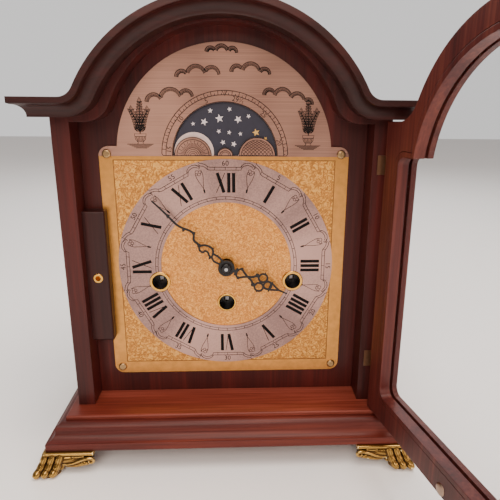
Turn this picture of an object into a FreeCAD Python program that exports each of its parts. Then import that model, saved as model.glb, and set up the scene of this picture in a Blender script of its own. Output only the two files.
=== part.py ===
import FreeCAD, Part
import math
import os

V = FreeCAD.Vector
os.makedirs("parts", exist_ok=True)

# Bracket clock with an arched hood, a hinged glazed door and a moon dial.
# Millimetres. +X is the viewer's right, -Y the front, +Z up. The origin is on the
# table under the middle of the plinth.

# ---- plinth and feet ----
FOOT_H = 20.0            # table to the underside of the plinth
PLINTH_W = 281.4         # over the bottom fillet
PLINTH_D = 190.0
PLINTH_H = 22.2          # to the top of the floor board
FLOOR_T = 3.2            # edge of the floor board that shows above the moulding
FLOOR_BOARD_T = 9.0
PLINTH_P = 13.2          # projection of the moulding past the floor board
PLINTH_RING = 34.0       # width of the mitred frame
PLINTH_FILLET = 6.1      # height of the flat band at the bottom
WAIST_P = 6.7            # projection where the moulding's round turns into its hollow
WAIST_UP = 6.6           # the waist over the flat band
LEDGE_P = 2.2            # flat step between the floor board's edge and the round
POST_SETBACK = 29.6      # plinth front to the front edges of the side boards

# ---- case ----
CASE_W = 243.6           # over the side boards
SIDE_T = 13.0
SILL = 113.2             # case floor to the dial centre
HEAD_T = 20.3            # head board: front edges of the sides to the mask
MASK_T = 8.0
BACK_T = 8.0
ROOF_T = 9.0
CASE_BACK_IN = 3.0       # the back of the case lies in front of the plinth's back edge
ARCH_UP = 86.0           # dial centre to the centre of the hood's arch
SHOULDER_UP = 116.6      # dial centre to the lower edge of the cornice
MOULD_R = 96.0           # inner radius of the arch moulding
MOULD_H = 13.0
MOULD_P = 8.9            # projection of the cornice over its own height
MOULD_FOOT = 16.7        # lower edge of the cornice in front of the side boards
MOULD_SIDE = 8.7         # the same at the sides
CROWN_R = 24.0           # lower edge of the sweep between shoulder and arch
ROOF_LOW = 2.0           # the roof lies this far under the moulding's top edge
HEAD_ARCH_R = 86.1
HEAD_ARCH_UP = 94.2
HEAD_SILL_UP = 113.0
HEAD_FILLET = 20.0

# ---- front door ----
DOOR_T = 15.0
DOOR_GAP = 1.2           # door to floor and cornice
DOOR_SEAT = 0.3          # door to the front edges of the sides
DOOR_HALF = 119.8
STILE = 17.7
RAIL = 20.3
SIGHT_UP = 93.0          # top of the square light over the dial centre
SIGHT_ARCH_R = 85.0
SIGHT_ARCH_UP = 79.0
SIGHT_R = 7.0
GLASS_T = 2.0
GLASS_IN = 8.6           # inner face to glass
GLASS_LAP = 3.5
GLASS_GAP = 0.4
DOOR_OPEN = 102.4        # the angle in the photograph
PIVOT_X = 121.7
PIVOT_IN = 7.0           # hinge pin in front of the door's inner face
HINGE_UP = (83.6, -74.6)
HINGE_H = 14.0
KNUCKLE_R = 1.7
PIN_R = 0.8
PIN_FIT = 0.05
LEAF_T = 1.0
LEAF_W = 9.0
DOOR_LEAF_T = 0.8
LEAF_CLEAR = 0.3
KNOB_X = -10.0
KNOB_UP = -103.3
KNOB_HOLE_R = 2.0
CATCH_PIN_R = 1.7
CATCH_PLATE_T = 1.2

# ---- dial ----
DIAL_W = 190.0
DIAL_T = 1.2
DIAL_CORNER = 7.5
SILVER_T = 0.8
SILVER_UP = 87.7         # dial centre to the lower edge of the arch plate
ARCH_PLATE_R = 81.2
ARCH_PLATE_UP = 88.0
RING_R = 85.85
RING_IN = 52.3
RING_T = 0.8
SCREW_X = 88.9
SCREW_UP = 89.4
WIND_X = 53.8
WIND_UP = -13.0
WIND_MID = -31.6
WIND_R = 6.4             # bore of the brass tubes that line the winding holes
WIND_WALL = 0.6
WIND_RIM_SIDE = 8.5
WIND_RIM_MID = 7.8
WIND_RIM_T = 0.9
WIND_TUBE = 9.0          # length behind the dial plate's face
WIND_DEEP = 10.0         # dial front to the ends of the winding squares
MOON_WIN_R = 39.5
MOON_HUMP_X = 24.3
MOON_HUMP_R = 14.0
MOON_MID_R = 6.0
MOON_R = 42.5
MOON_T = 0.8
MOON_GAP = 0.6

# ---- hands ----
MIN_L = 78.4
HOUR_L = 54.2
HAND_T = 0.9
BOSS_R = 6.5
NUT_R = 4.4
NUT_T = 2.2
HOUR_Y = 3.4             # hour hand in front of the dial
HAND_STEP = 2.2
MIN_AT = -45.9           # degrees from twelve, clockwise positive, as photographed
HOUR_AT = 114.9

# ---- movement ----
PLATE_W = 160.0
PLATE_H = 124.0
PLATE_T = 2.0
PLATE_DROP = 6.0         # plate centre under the dial centre
MOVE_IN = 24.0           # dial front to the front plate
PLATE_GAP = 36.0
PILLAR_R = 3.6
BARREL_R = 19.5
BARREL_L = 24.0
ARBOR_R = 2.2
FIT = 0.06
BLOCK_X = -78.0
ROD_R = 1.25
ROD_UP = 42.0            # floor board to the rods

# ---- planes that the pieces share ----
FLOOR_Z = FOOT_H + PLINTH_H
DIAL_Z = FLOOR_Z + SILL
FRONT_Y = -PLINTH_D / 2
POST_Y = FRONT_Y + POST_SETBACK
MASK_Y = POST_Y + HEAD_T
DIAL_Y = MASK_Y - DIAL_T - SILVER_T
BACK_Y = PLINTH_D / 2 - CASE_BACK_IN
CASE_X = CASE_W / 2
IN_X = CASE_X - SIDE_T
ARCH_Z = DIAL_Z + ARCH_UP
EDGE_Z = DIAL_Z + SHOULDER_UP
DOOR_IN_Y = POST_Y - DOOR_SEAT
DOOR_BOT = FLOOR_Z + DOOR_GAP
PIVOT_Y = DOOR_IN_Y - PIVOT_IN
MOVE_Y = DIAL_Y + MOVE_IN
MOVE_Z = DIAL_Z - PLATE_DROP


def save(shape, name):
    shape.exportStep("parts/" + name + ".step")


def box(x0, x1, y0, y1, z0, z1):
    return Part.makeBox(x1 - x0, y1 - y0, z1 - z0, V(x0, y0, z0))


def cyl_y(x, z, r, y0, y1):
    return Part.makeCylinder(r, y1 - y0, V(x, y0, z), V(0, 1, 0))


def cyl_z(x, y, r, z0, z1):
    return Part.makeCylinder(r, z1 - z0, V(x, y, z0), V(0, 0, 1))


def cyl_x(y, z, r, x0, x1):
    return Part.makeCylinder(r, x1 - x0, V(x0, y, z), V(1, 0, 0))


def fuse(items):
    items = list(items)
    if len(items) == 1:
        return items[0]
    return items[0].fuse(items[1:]).removeSplitter()


def flip_x(shape):
    return shape.mirror(V(0, 0, 0), V(1, 0, 0))


def round_along_y(solid, points, r):
    """Rounds the edges that run along Y through the given (x, z) corners."""
    edges = []
    for e in solid.Edges:
        a, b = e.Vertexes[0].Point, e.Vertexes[-1].Point
        if abs(a.x - b.x) < 1e-6 and abs(a.z - b.z) < 1e-6 and abs(a.y - b.y) > 1e-3:
            for x, z in points:
                if abs(a.x - x) < 1e-3 and abs(a.z - z) < 1e-3:
                    edges.append(e)
    return solid.makeFillet(r, edges)


# ---- the hood's outline: shoulder, sweep and arch, all offsets of one line ----
SWEEP_Z = EDGE_Z + CROWN_R
SWEEP_X = math.sqrt((MOULD_R + CROWN_R) ** 2 - (SWEEP_Z - ARCH_Z) ** 2)
SWEEP_A = math.atan2(SWEEP_X, SWEEP_Z - ARCH_Z)


def hood_points(off):
    """Right half of the hood's line at an offset: shoulder, tangent points, crown."""
    r, f = MOULD_R + off, CROWN_R - off
    s, c = math.sin(SWEEP_A), math.cos(SWEEP_A)
    m = SWEEP_A / 2
    low = (SWEEP_X, EDGE_Z + off)
    mid = (SWEEP_X - f * math.sin(m), SWEEP_Z - f * math.cos(m))
    tan = (r * s, ARCH_Z + r * c)
    return low, mid, tan, (0.0, ARCH_Z + r)


def hood_face(half, bottom, off, y):
    """Closed outline with straight sides under the hood's line, facing along Y."""
    low, mid, tan, top = hood_points(off)

    def p(q, s=1):
        return V(s * q[0], y, q[1])

    edges = [
        Part.LineSegment(V(-half, y, bottom), V(half, y, bottom)),
        Part.LineSegment(V(half, y, bottom), V(half, y, low[1])),
        Part.LineSegment(V(half, y, low[1]), p(low)),
        Part.Arc(p(low), p(mid), p(tan)),
        Part.Arc(p(tan), p(top), p(tan, -1)),
        Part.Arc(p(tan, -1), p(mid, -1), p(low, -1)),
        Part.LineSegment(p(low, -1), V(-half, y, low[1])),
        Part.LineSegment(V(-half, y, low[1]), V(-half, y, bottom)),
    ]
    return Part.Face(Part.Wire([e.toShape() for e in edges]))


def hood_solid(half, bottom, off, y0, y1):
    return hood_face(half, bottom, off, y0).extrude(V(0, y1 - y0, 0))


def arch_solid(half, bottom, spring, r, zc, y0, y1):
    """A square light with an arch on it: the arch starts where it meets spring."""
    x = math.sqrt(r * r - (spring - zc) ** 2)
    edges = [
        Part.LineSegment(V(-half, y0, bottom), V(half, y0, bottom)),
        Part.LineSegment(V(half, y0, bottom), V(half, y0, spring)),
        Part.LineSegment(V(half, y0, spring), V(x, y0, spring)),
        Part.Arc(V(x, y0, spring), V(0, y0, zc + r), V(-x, y0, spring)),
        Part.LineSegment(V(-x, y0, spring), V(-half, y0, spring)),
        Part.LineSegment(V(-half, y0, spring), V(-half, y0, bottom)),
    ]
    wire = Part.Wire([e.toShape() for e in edges])
    return Part.Face(wire).extrude(V(0, y1 - y0, 0))


# ---- cornice: one profile, run along the shoulders and round the arch ----
def cornice_profile(place, foot, back=0.0):
    """Band, cove, quirk and fillet. place(h, p): h up the profile, p outwards."""
    h = MOULD_H
    band = 1.0
    cove_h = h * 0.63
    cove_p = MOULD_P - 1.6
    q = math.sqrt(0.5)
    r_h, r_p = cove_h - band, cove_p
    mid = (band + r_h * q, foot + r_p * (1 - q))
    pts = [(0, back), (0, foot), (band, foot)]
    top = [(cove_h, foot + cove_p), (cove_h + 0.6, foot + MOULD_P - 0.3)]
    top += [(cove_h + 0.6, foot + MOULD_P), (h, foot + MOULD_P), (h, back)]
    e = [Part.LineSegment(place(*pts[i]), place(*pts[i + 1])) for i in range(2)]
    e.append(Part.Arc(place(*pts[2]), place(*mid), place(*top[0])))
    ring = top + [pts[0]]
    e += [Part.LineSegment(place(*ring[i]), place(*ring[i + 1])) for i in range(5)]
    return Part.Face(Part.Wire([k.toShape() for k in e]))


def cornice():
    end = CASE_X + MOULD_SIDE + MOULD_P
    front = POST_Y
    face = cornice_profile(lambda h, p: V(0, front - p, ARCH_Z + MOULD_R + h), MOULD_FOOT)
    deg = math.degrees(SWEEP_A)
    face.rotate(V(0, 0, ARCH_Z), V(0, 1, 0), -deg)
    arch = face.revolve(V(0, 0, ARCH_Z), V(0, 1, 0), 2 * deg)
    turn = cornice_profile(lambda h, p: V(SWEEP_X, front - p, EDGE_Z + h), MOULD_FOOT)
    sweep = turn.revolve(V(SWEEP_X, 0, SWEEP_Z), V(0, 1, 0), deg)
    run = cornice_profile(lambda h, p: V(SWEEP_X, front - p, EDGE_Z + h), MOULD_FOOT)
    run = run.extrude(V(end - SWEEP_X, 0, 0))
    # returns along the sides, mitred with the front run
    depth = BACK_Y - front + MOULD_FOOT + MOULD_P
    side = cornice_profile(
        lambda h, p: V(CASE_X + p, front - MOULD_FOOT - MOULD_P, EDGE_Z + h), MOULD_SIDE
    ).extrude(V(0, depth, 0))
    reach = cornice_profile(
        lambda h, p: V(0, front - p, EDGE_Z + h), MOULD_FOOT, front - BACK_Y
    ).extrude(V(end, 0, 0))
    limit = cornice_profile(
        lambda h, p: V(CASE_X + p, front - MOULD_FOOT - MOULD_P, EDGE_Z + h),
        MOULD_SIDE, -CASE_X
    ).extrude(V(0, depth, 0))
    run = run.common(limit)
    side = side.common(reach)
    right = fuse([run, side, sweep])
    return fuse([arch, right, flip_x(right)])


save(cornice(), "cornice_moulding")


# ---- plinth ----
def plinth_profile(place, inner):
    """Flat band, hollow, round and a flat step at the top, seen from the end."""
    z0, z1 = FOOT_H, FLOOR_Z - FLOOR_T
    a = z0 + PLINTH_FILLET
    waist = a + WAIST_UP
    p = PLINTH_P
    out, round_w, round_h = p - 0.6, WAIST_P - LEDGE_P, z1 - waist
    e = [
        Part.LineSegment(place(inner, z0), place(p, z0)),
        Part.LineSegment(place(p, z0), place(p, a)),
        Part.LineSegment(place(p, a), place(out, a)),
        Part.Arc(place(out, a), place(WAIST_P + (out - WAIST_P) * 0.3, a + WAIST_UP * 0.38),
                 place(WAIST_P, waist)),
        Part.Arc(place(WAIST_P, waist), place(LEDGE_P + round_w * 0.74, waist + round_h * 0.7),
                 place(LEDGE_P, z1)),
        Part.LineSegment(place(LEDGE_P, z1), place(inner, z1)),
        Part.LineSegment(place(inner, z1), place(inner, z0)),
    ]
    return Part.Face(Part.Wire([k.toShape() for k in e]))


SLAB_X = PLINTH_W / 2 - PLINTH_P
SLAB_Y = FRONT_Y + PLINTH_P


def plinth():
    hw = PLINTH_W / 2
    long_x = plinth_profile(lambda p, z: V(-hw, SLAB_Y - p, z), SLAB_Y - PLINTH_D / 2)
    long_x = long_x.extrude(V(PLINTH_W, 0, 0))
    right = plinth_profile(lambda p, z: V(SLAB_X + p, FRONT_Y, z), -SLAB_X)
    right = right.extrude(V(0, PLINTH_D, 0))
    body = long_x.common(fuse([right, flip_x(right)]))
    inner = hw - PLINTH_RING
    well = box(-inner, inner, FRONT_Y + PLINTH_RING, PLINTH_D / 2 - PLINTH_RING,
               FOOT_H - 1, FLOOR_Z)
    rebate = FLOOR_BOARD_T - FLOOR_T
    seat_x = inner + 8
    seat = box(-seat_x, seat_x, FRONT_Y + PLINTH_RING - 8, PLINTH_D / 2 - PLINTH_RING + 8,
               FLOOR_Z - FLOOR_T - rebate, FLOOR_Z)
    return body.cut(well).cut(seat)


def floor_board():
    top = box(-SLAB_X, SLAB_X, SLAB_Y, PLINTH_D / 2, FLOOR_Z - FLOOR_T, FLOOR_Z)
    edges = [e for e in top.Edges
             if abs(e.CenterOfMass.z - FLOOR_Z) < 1e-6 and e.CenterOfMass.y < BACK_Y]
    top = top.makeFillet(1.2, edges)
    inner = PLINTH_W / 2 - PLINTH_RING + 8 - 0.2
    under = box(-inner, inner, FRONT_Y + PLINTH_RING - 7.8, PLINTH_D / 2 - PLINTH_RING + 7.8,
                FLOOR_Z - FLOOR_BOARD_T, FLOOR_Z - FLOOR_T)
    return fuse([top, under])


save(plinth(), "plinth_moulding")
save(floor_board(), "floor_board")

# ---- case boards ----
ROOF_OUT = MOULD_H - ROOF_LOW
ROOF_UNDER = ROOF_OUT - ROOF_T


def side_board():
    return box(IN_X, CASE_X, POST_Y, BACK_Y, FLOOR_Z, EDGE_Z + ROOF_UNDER)


def roof_board():
    outer = hood_solid(CASE_X, EDGE_Z - 5, ROOF_OUT, POST_Y, BACK_Y)
    inner = hood_solid(CASE_X + 1, EDGE_Z - 6, ROOF_UNDER, POST_Y - 1, BACK_Y + 1)
    return outer.cut(inner)


def head_board():
    body = hood_solid(IN_X, DIAL_Z + HEAD_SILL_UP, ROOF_UNDER, POST_Y, MASK_Y)
    zc = DIAL_Z + HEAD_ARCH_UP
    hole = cyl_y(0, zc, HEAD_ARCH_R, POST_Y - 1, MASK_Y + 1)
    body = body.cut(hole)
    low = DIAL_Z + HEAD_SILL_UP
    x = math.sqrt(HEAD_ARCH_R ** 2 - (low - zc) ** 2)
    return round_along_y(body, [(x, low), (-x, low)], HEAD_FILLET)


def mask_board():
    body = hood_solid(IN_X, FLOOR_Z, ROOF_UNDER, MASK_Y, MASK_Y + MASK_T)
    edge = DIAL_W / 2 - 11
    hole = box(-edge, edge, MASK_Y - 1, MASK_Y + MASK_T + 1, DIAL_Z - edge, DIAL_Z + 80)
    top = cyl_y(0, DIAL_Z + ARCH_PLATE_UP, ARCH_PLATE_R - 9, MASK_Y - 1, MASK_Y + MASK_T + 1)
    return body.cut(fuse([hole, top]))


REAR_HALF = 88.0
REAR_LOW = 14.0
REAR_TOP_UP = 84.0
REAR_GAP = 0.8


def back_frame():
    body = hood_solid(IN_X, FLOOR_Z, ROOF_UNDER, BACK_Y - BACK_T, BACK_Y)
    hole = box(-REAR_HALF, REAR_HALF, BACK_Y - BACK_T - 1, BACK_Y + 1,
               FLOOR_Z + REAR_LOW, DIAL_Z + REAR_TOP_UP)
    return body.cut(hole)


save(flip_x(side_board()), "side_board_left")
save(roof_board(), "roof_board")
save(head_board(), "head_board")

# ---- rear door: sound slots, two butt hinges and a turn button ----
REAR_T = 6.0
REAR_PIVOT_X = -REAR_HALF - 1.0
REAR_PIVOT_Y = BACK_Y + 2.0
REAR_KNUCKLE = 2.0


def rear_door():
    g = REAR_GAP
    y0 = BACK_Y - REAR_T
    body = box(-REAR_HALF + g, REAR_HALF - g, y0, BACK_Y,
               FLOOR_Z + REAR_LOW + g, DIAL_Z + REAR_TOP_UP - g)
    slots = []
    for i in range(9):
        x = (i - 4) * 13.0
        reach = 24.0 - 2.6 * abs(i - 4)
        slot = box(x - 2.5, x + 2.5, y0 - 1, BACK_Y + 1, DIAL_Z - reach, DIAL_Z + reach)
        ends = [cyl_y(x, DIAL_Z + s * reach, 2.5, y0 - 1, BACK_Y + 1) for s in (-1, 1)]
        slots.append(fuse([slot] + ends))
    return body.cut(Part.makeCompound(slots))


def rear_hinge(side):
    """side 0: leaf and end knuckles on the frame; side 1: middle knuckle on the door."""
    solids = []
    x, y = REAR_PIVOT_X, REAR_PIVOT_Y
    for zc in (FLOOR_Z + 46.0, DIAL_Z + 44.0):
        h = 30.0
        if side == 0:
            leaf = box(x - 12, x, BACK_Y, BACK_Y + 1.0, zc - h / 2, zc + h / 2)
            spans = [(-h / 2, -5.2), (5.2, h / 2)]
            s = -1
        else:
            leaf = box(x + 2.4, x + 14, BACK_Y, BACK_Y + 1.0, zc - h / 2, zc + h / 2)
            leaf = fuse([leaf, box(x, x + 3, BACK_Y, BACK_Y + 1.0, zc - 5, zc + 5)])
            spans = [(-5.0, 5.0)]
            s = 1
        parts = [leaf]
        for a, b in spans:
            parts.append(cyl_z(x, y, REAR_KNUCKLE, zc + a, zc + b))
        body = fuse(parts)
        if side == 0:
            body = body.cut(box(x - 3, x + 3, BACK_Y - 1, BACK_Y + 6, zc - 5.2, zc + 5.2))
            pin = cyl_z(x, y, PIN_R, zc - h / 2 - 0.8, zc + h / 2 + 0.8)
            body = fuse([body, pin])
        else:
            body = body.cut(cyl_z(x, y, PIN_R + PIN_FIT, zc - h, zc + h))
            gap = cyl_z(x, y, REAR_KNUCKLE + 0.3, zc - h / 2 - 1, zc - 5.0)
            body = body.cut(gap)
            gap = cyl_z(x, y, REAR_KNUCKLE + 0.3, zc + 5.0, zc + h / 2 + 1)
            body = body.cut(gap)
        solids.append(body)
    return Part.makeCompound(solids)


BUTTON_X = REAR_HALF + 5.0
BUTTON_Z = DIAL_Z + 4.0


def rear_button():
    """Upright it frees the door; turned down to the left it laps over it."""
    y = BACK_Y + 0.3
    bar = box(-3.5, 3.5, 0, 2.0, -6.0, 14.0)
    bar = round_along_y(bar, [(-3.5, -6), (3.5, -6), (-3.5, 14), (3.5, 14)], 3.4)
    bar = bar.cut(cyl_y(0, 0, 1.6 + PIN_FIT, -1, 3))
    bar.translate(V(BUTTON_X, y, BUTTON_Z))
    return bar


def rear_button_screw():
    y = BACK_Y
    return fuse([cyl_y(BUTTON_X, BUTTON_Z, 1.6, y - 5, y + 2.5),
                 cyl_y(BUTTON_X, BUTTON_Z, 3.0, y + 2.5, y + 3.6)])


frame_cut = cyl_y(BUTTON_X, BUTTON_Z, 1.6, BACK_Y - 5, BACK_Y + 1)
save(back_frame().cut(frame_cut), "back_frame")
save(rear_door(), "rear_door")
save(rear_hinge(0), "rear_hinge_frame_leaves")
save(rear_hinge(1), "rear_hinge_door_leaves")
save(rear_button(), "rear_turn_button")
save(rear_button_screw(), "rear_button_screw")

# ---- catch block on the mask, with the bush that takes the door's pin ----
CATCH_X = (-IN_X, -91.9)
CATCH_UP = (-60.0, 47.0)
CATCH_Y = DIAL_Y - 9.0
BUSH_X = -100.3
BUSH_UP = -6.5
BUSH_R = 3.85
BUSH_BORE = 2.1


def catch_block():
    x0, x1 = CATCH_X
    b = box(x0, x1, CATCH_Y, MASK_Y, DIAL_Z + CATCH_UP[0], DIAL_Z + CATCH_UP[1])
    b = b.makeFillet(1.5, [e for e in b.Edges if abs(e.CenterOfMass.y - CATCH_Y) < 1e-6
                           and e.CenterOfMass.x > x0 + 1e-3])
    # a rebate at the back lets the block lap over the dial's edge
    lap = box(-DIAL_W / 2 - 0.3, x1 + 1, DIAL_Y - 0.3, MASK_Y + 1, DIAL_Z - 80, DIAL_Z + 80)
    b = b.cut(lap)
    return b.cut(cyl_y(BUSH_X, DIAL_Z + BUSH_UP, BUSH_BORE + 0.9, CATCH_Y - 1, CATCH_Y + 9))


def catch_bush():
    z = DIAL_Z + BUSH_UP
    flange = cyl_y(BUSH_X, z, BUSH_R, CATCH_Y - 0.7, CATCH_Y)
    flange = flange.makeFillet(0.5, [e for e in flange.Edges
                                     if abs(e.CenterOfMass.y - CATCH_Y + 0.7) < 1e-6])
    tube = cyl_y(BUSH_X, z, BUSH_BORE + 0.9, CATCH_Y, CATCH_Y + 8.9)
    return fuse([flange, tube]).cut(cyl_y(BUSH_X, z, BUSH_BORE, CATCH_Y - 2, CATCH_Y + 8))


save(catch_block(), "catch_block")
save(catch_bush(), "catch_bush")


# ---- front door, drawn closed and then swung to the angle in the photograph ----
def swing(shape):
    shape = shape.copy()
    shape.rotate(V(PIVOT_X, PIVOT_Y, 0), V(0, 0, 1), DOOR_OPEN)
    return shape


DOOR_FRONT_Y = DOOR_IN_Y - DOOR_T
GLASS_Y = DOOR_IN_Y - GLASS_IN - GLASS_T
LIGHT_HALF = DOOR_HALF - STILE
LIGHT_BOT = DOOR_BOT + RAIL
KNOB_Z = DIAL_Z + KNOB_UP


def light(grow, y0, y1, r=SIGHT_R):
    half = LIGHT_HALF + grow
    top = DIAL_Z + SIGHT_UP + grow
    bot = LIGHT_BOT - grow
    s = arch_solid(half, bot, top, SIGHT_ARCH_R + grow, DIAL_Z + SIGHT_ARCH_UP, y0, y1)
    return round_along_y(s, [(half, bot), (-half, bot), (half, top), (-half, top)], r + grow)


DOOR_LEAF_X = PIVOT_X - KNUCKLE_R - LEAF_CLEAR - DOOR_LEAF_T


def hinge_notches():
    items = []
    for up in HINGE_UP:
        z = DIAL_Z + up
        items.append(box(DOOR_LEAF_X, DOOR_HALF + 5, PIVOT_Y - 3.2, DOOR_IN_Y + 5,
                         z - HINGE_H / 2 - 0.4, z + HINGE_H / 2 + 0.4))
    return items


def door_frame():
    body = hood_solid(DOOR_HALF, DOOR_BOT, -DOOR_GAP, DOOR_FRONT_Y, DOOR_IN_Y)
    body = body.cut(light(0, DOOR_FRONT_Y - 1, DOOR_IN_Y + 1))
    body = body.cut(light(GLASS_LAP + GLASS_GAP, GLASS_Y - GLASS_GAP / 2, DOOR_IN_Y + 1))
    rim = [e for e in body.Edges if abs(e.CenterOfMass.y - DOOR_FRONT_Y) < 1e-4]
    outer = [e for e in rim if abs(e.BoundBox.ZMin - DOOR_BOT) < 0.01
             or abs(e.CenterOfMass.x) > LIGHT_HALF + 5]
    body = body.makeFillet(2.0, [e for e in outer if e.BoundBox.XLength < 0.1
                                 or e.BoundBox.ZLength < 0.1])
    for n in hinge_notches():
        body = body.cut(n)
    body = body.cut(catch_plate())
    return body.cut(cyl_y(KNOB_X, KNOB_Z, KNOB_HOLE_R, DOOR_FRONT_Y - 1, DOOR_IN_Y + 1))


def glazing_bead():
    g = GLASS_LAP
    a = light(g, GLASS_Y + GLASS_T + GLASS_GAP / 2, DOOR_IN_Y)
    return a.cut(light(0, GLASS_Y - 1, DOOR_IN_Y + 1)).cut(catch_plate())


def door_glass():
    return light(GLASS_LAP, GLASS_Y, GLASS_Y + GLASS_T)


def door_knob():
    """Turned brass knob on the rail, held by a screw from inside."""
    y = DOOR_FRONT_Y
    pts = [(0, 0), (5.0, 0), (5.0, 0.9), (2.4, 1.6), (2.1, 4.5), (4.8, 7.0), (5.4, 9.0),
           (4.6, 11.0), (2.4, 12.2), (0, 12.5)]
    face = Part.Face(Part.makePolygon([V(KNOB_X + r, y - d, KNOB_Z) for r, d in pts + pts[:1]]))
    knob = face.revolve(V(KNOB_X, y, KNOB_Z), V(0, 1, 0), 360)
    shank = cyl_y(KNOB_X, KNOB_Z, 1.95, y, DOOR_IN_Y)
    head = cyl_y(KNOB_X, KNOB_Z, 4.2, DOOR_IN_Y, DOOR_IN_Y + 0.9)
    head = head.makeFillet(0.6, [e for e in head.Edges
                                 if abs(e.CenterOfMass.y - DOOR_IN_Y - 0.9) < 1e-6])
    return fuse([knob, shank, head])


def catch_plate():
    """Brass strip let into the stile's inner face; it reaches over the glazing bead."""
    z = DIAL_Z + BUSH_UP
    return box(-DOOR_HALF + 4.0, BUSH_X + 3.0, DOOR_IN_Y - CATCH_PLATE_T, DOOR_IN_Y, z - 6, z + 6)


def catch_pin():
    z = DIAL_Z + BUSH_UP
    tip = CATCH_Y + 3.0
    pin = cyl_y(BUSH_X, z, CATCH_PIN_R, DOOR_IN_Y - 0.2, tip)
    pin = pin.makeFillet(1.3, [e for e in pin.Edges if abs(e.CenterOfMass.y - tip) < 1e-6])
    return fuse([catch_plate(), pin])


def hinge_leaves(side):
    """Cranked leaves: 0 on the case with two knuckles and the pin, 1 on the door."""
    solids = []
    x, y = PIVOT_X, PIVOT_Y
    third = HINGE_H / 6
    for up in HINGE_UP:
        z = DIAL_Z + up
        z0, z1 = z - HINGE_H / 2, z + HINGE_H / 2
        if side == 0:
            flat = box(x - LEAF_W, x + KNUCKLE_R - 1.6, POST_Y - 0.001, POST_Y + LEAF_T, z0, z1)
            crank = box(x + KNUCKLE_R - LEAF_T, x + KNUCKLE_R, y, POST_Y + LEAF_T, z0, z1)
            join = box(x, x + KNUCKLE_R, POST_Y, POST_Y + LEAF_T, z0, z1)
            knuckles = [cyl_z(x, y, KNUCKLE_R, z0, z - third),
                        cyl_z(x, y, KNUCKLE_R, z + third, z1)]
            room = cyl_z(x, y, KNUCKLE_R + 0.25, z - third, z + third)
            body = fuse([flat, join, crank] + knuckles).cut(room)
            pin = cyl_z(x, y, PIN_R, z0, z1)
            solids.append(fuse([body, pin]))
        else:
            leaf = box(DOOR_LEAF_X, DOOR_LEAF_X + DOOR_LEAF_T, y - 3.0, DOOR_IN_Y - 0.2, z0, z1)
            arm = box(DOOR_LEAF_X, x, y - 0.7, y + 0.7, z - third + 0.15, z + third - 0.15)
            knuckle = cyl_z(x, y, KNUCKLE_R, z - third + 0.15, z + third - 0.15)
            body = fuse([leaf, arm, knuckle])
            solids.append(body.cut(cyl_z(x, y, PIN_R + PIN_FIT, z0, z1)))
    return Part.makeCompound(solids)


save(swing(door_frame()), "door_frame")
save(swing(glazing_bead()), "glazing_bead")
save(swing(door_glass()), "door_glass")
save(swing(door_knob()), "door_knob")
save(swing(catch_pin()), "door_catch_pin")
save(swing(hinge_leaves(1)), "door_hinge_door_leaves")
save(hinge_leaves(0), "door_hinge_case_leaves")
# the right side board is let in for the leaves
recess = []
for up in HINGE_UP:
    recess.append(box(PIVOT_X - LEAF_W - 0.1, CASE_X + 2, POST_Y - 1, POST_Y + LEAF_T + 0.001,
                      DIAL_Z + up - HINGE_H / 2 - 0.1, DIAL_Z + up + HINGE_H / 2 + 0.1))
save(side_board().cut(recess[0]).cut(recess[1]), "side_board_right")

# ---- dial ----
WIND = ((-WIND_X, WIND_UP), (0.0, WIND_MID), (WIND_X, WIND_UP))


def moon_window(y0, y1):
    zc = DIAL_Z + ARCH_PLATE_UP
    w = cyl_y(0, zc, MOON_WIN_R, y0, y1)
    w = w.cut(box(-60, 60, y0 - 1, y1 + 1, zc - 60, zc))
    for x, r in ((-MOON_HUMP_X, MOON_HUMP_R), (MOON_HUMP_X, MOON_HUMP_R), (0, MOON_MID_R)):
        w = w.cut(cyl_y(x, zc, r, y0 - 1, y1 + 1))
    return w


def dial_plate():
    """Gilt plate behind the ring; the arch above it carries the moon disc's pivot."""
    h = DIAL_W / 2
    y0, y1 = MASK_Y - DIAL_T, MASK_Y
    zc = DIAL_Z + ARCH_PLATE_UP
    b = round_along_y(box(-h, h, y0, y1, DIAL_Z - h, DIAL_Z + h),
                      [(-h, DIAL_Z - h), (h, DIAL_Z - h), (-h, DIAL_Z + h), (h, DIAL_Z + h)],
                      DIAL_CORNER)
    b = fuse([b, cyl_y(0, zc, ARCH_PLATE_R, y0, y1).cut(box(-90, 90, y0 - 1, y1 + 1, zc - 90, zc))])
    b = b.cut(moon_window(y0 - 1, y1 + 1))
    for x, up in WIND:
        b = b.cut(cyl_y(x, DIAL_Z + up, WIND_R + WIND_WALL, y0 - 1, y1 + 1))
    for x in (-SCREW_X, SCREW_X):
        for up in (-SCREW_UP, SCREW_UP):
            b = b.cut(cyl_y(x, DIAL_Z + up, 1.6, y0 - 1, y1 + 1))
    return b.cut(cyl_y(0, DIAL_Z, 6.0, y0 - 1, y1 + 1))


def arch_plate():
    """Silvered plate of the break arch, with the moon's window and its two humps."""
    h = DIAL_W / 2
    y0, y1 = DIAL_Y, MASK_Y - DIAL_T
    zc = DIAL_Z + ARCH_PLATE_UP
    band = box(-h, h, y0, y1, DIAL_Z, DIAL_Z + h)
    band = round_along_y(band, [(-h, DIAL_Z + h), (h, DIAL_Z + h)], DIAL_CORNER)
    band = band.cut(box(-h - 1, h + 1, y0 - 1, y1 + 1, DIAL_Z - 1, DIAL_Z + SILVER_UP))
    arch = cyl_y(0, zc, ARCH_PLATE_R, y0, y1)
    arch = arch.cut(box(-90, 90, y0 - 1, y1 + 1, zc - 90, DIAL_Z + SILVER_UP))
    b = fuse([band, arch]).cut(moon_window(y0 - 1, y1 + 1))
    for x in (-SCREW_X, SCREW_X):
        b = b.cut(cyl_y(x, DIAL_Z + SCREW_UP, 1.6, y0 - 1, y1 + 1))
    return b


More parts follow.
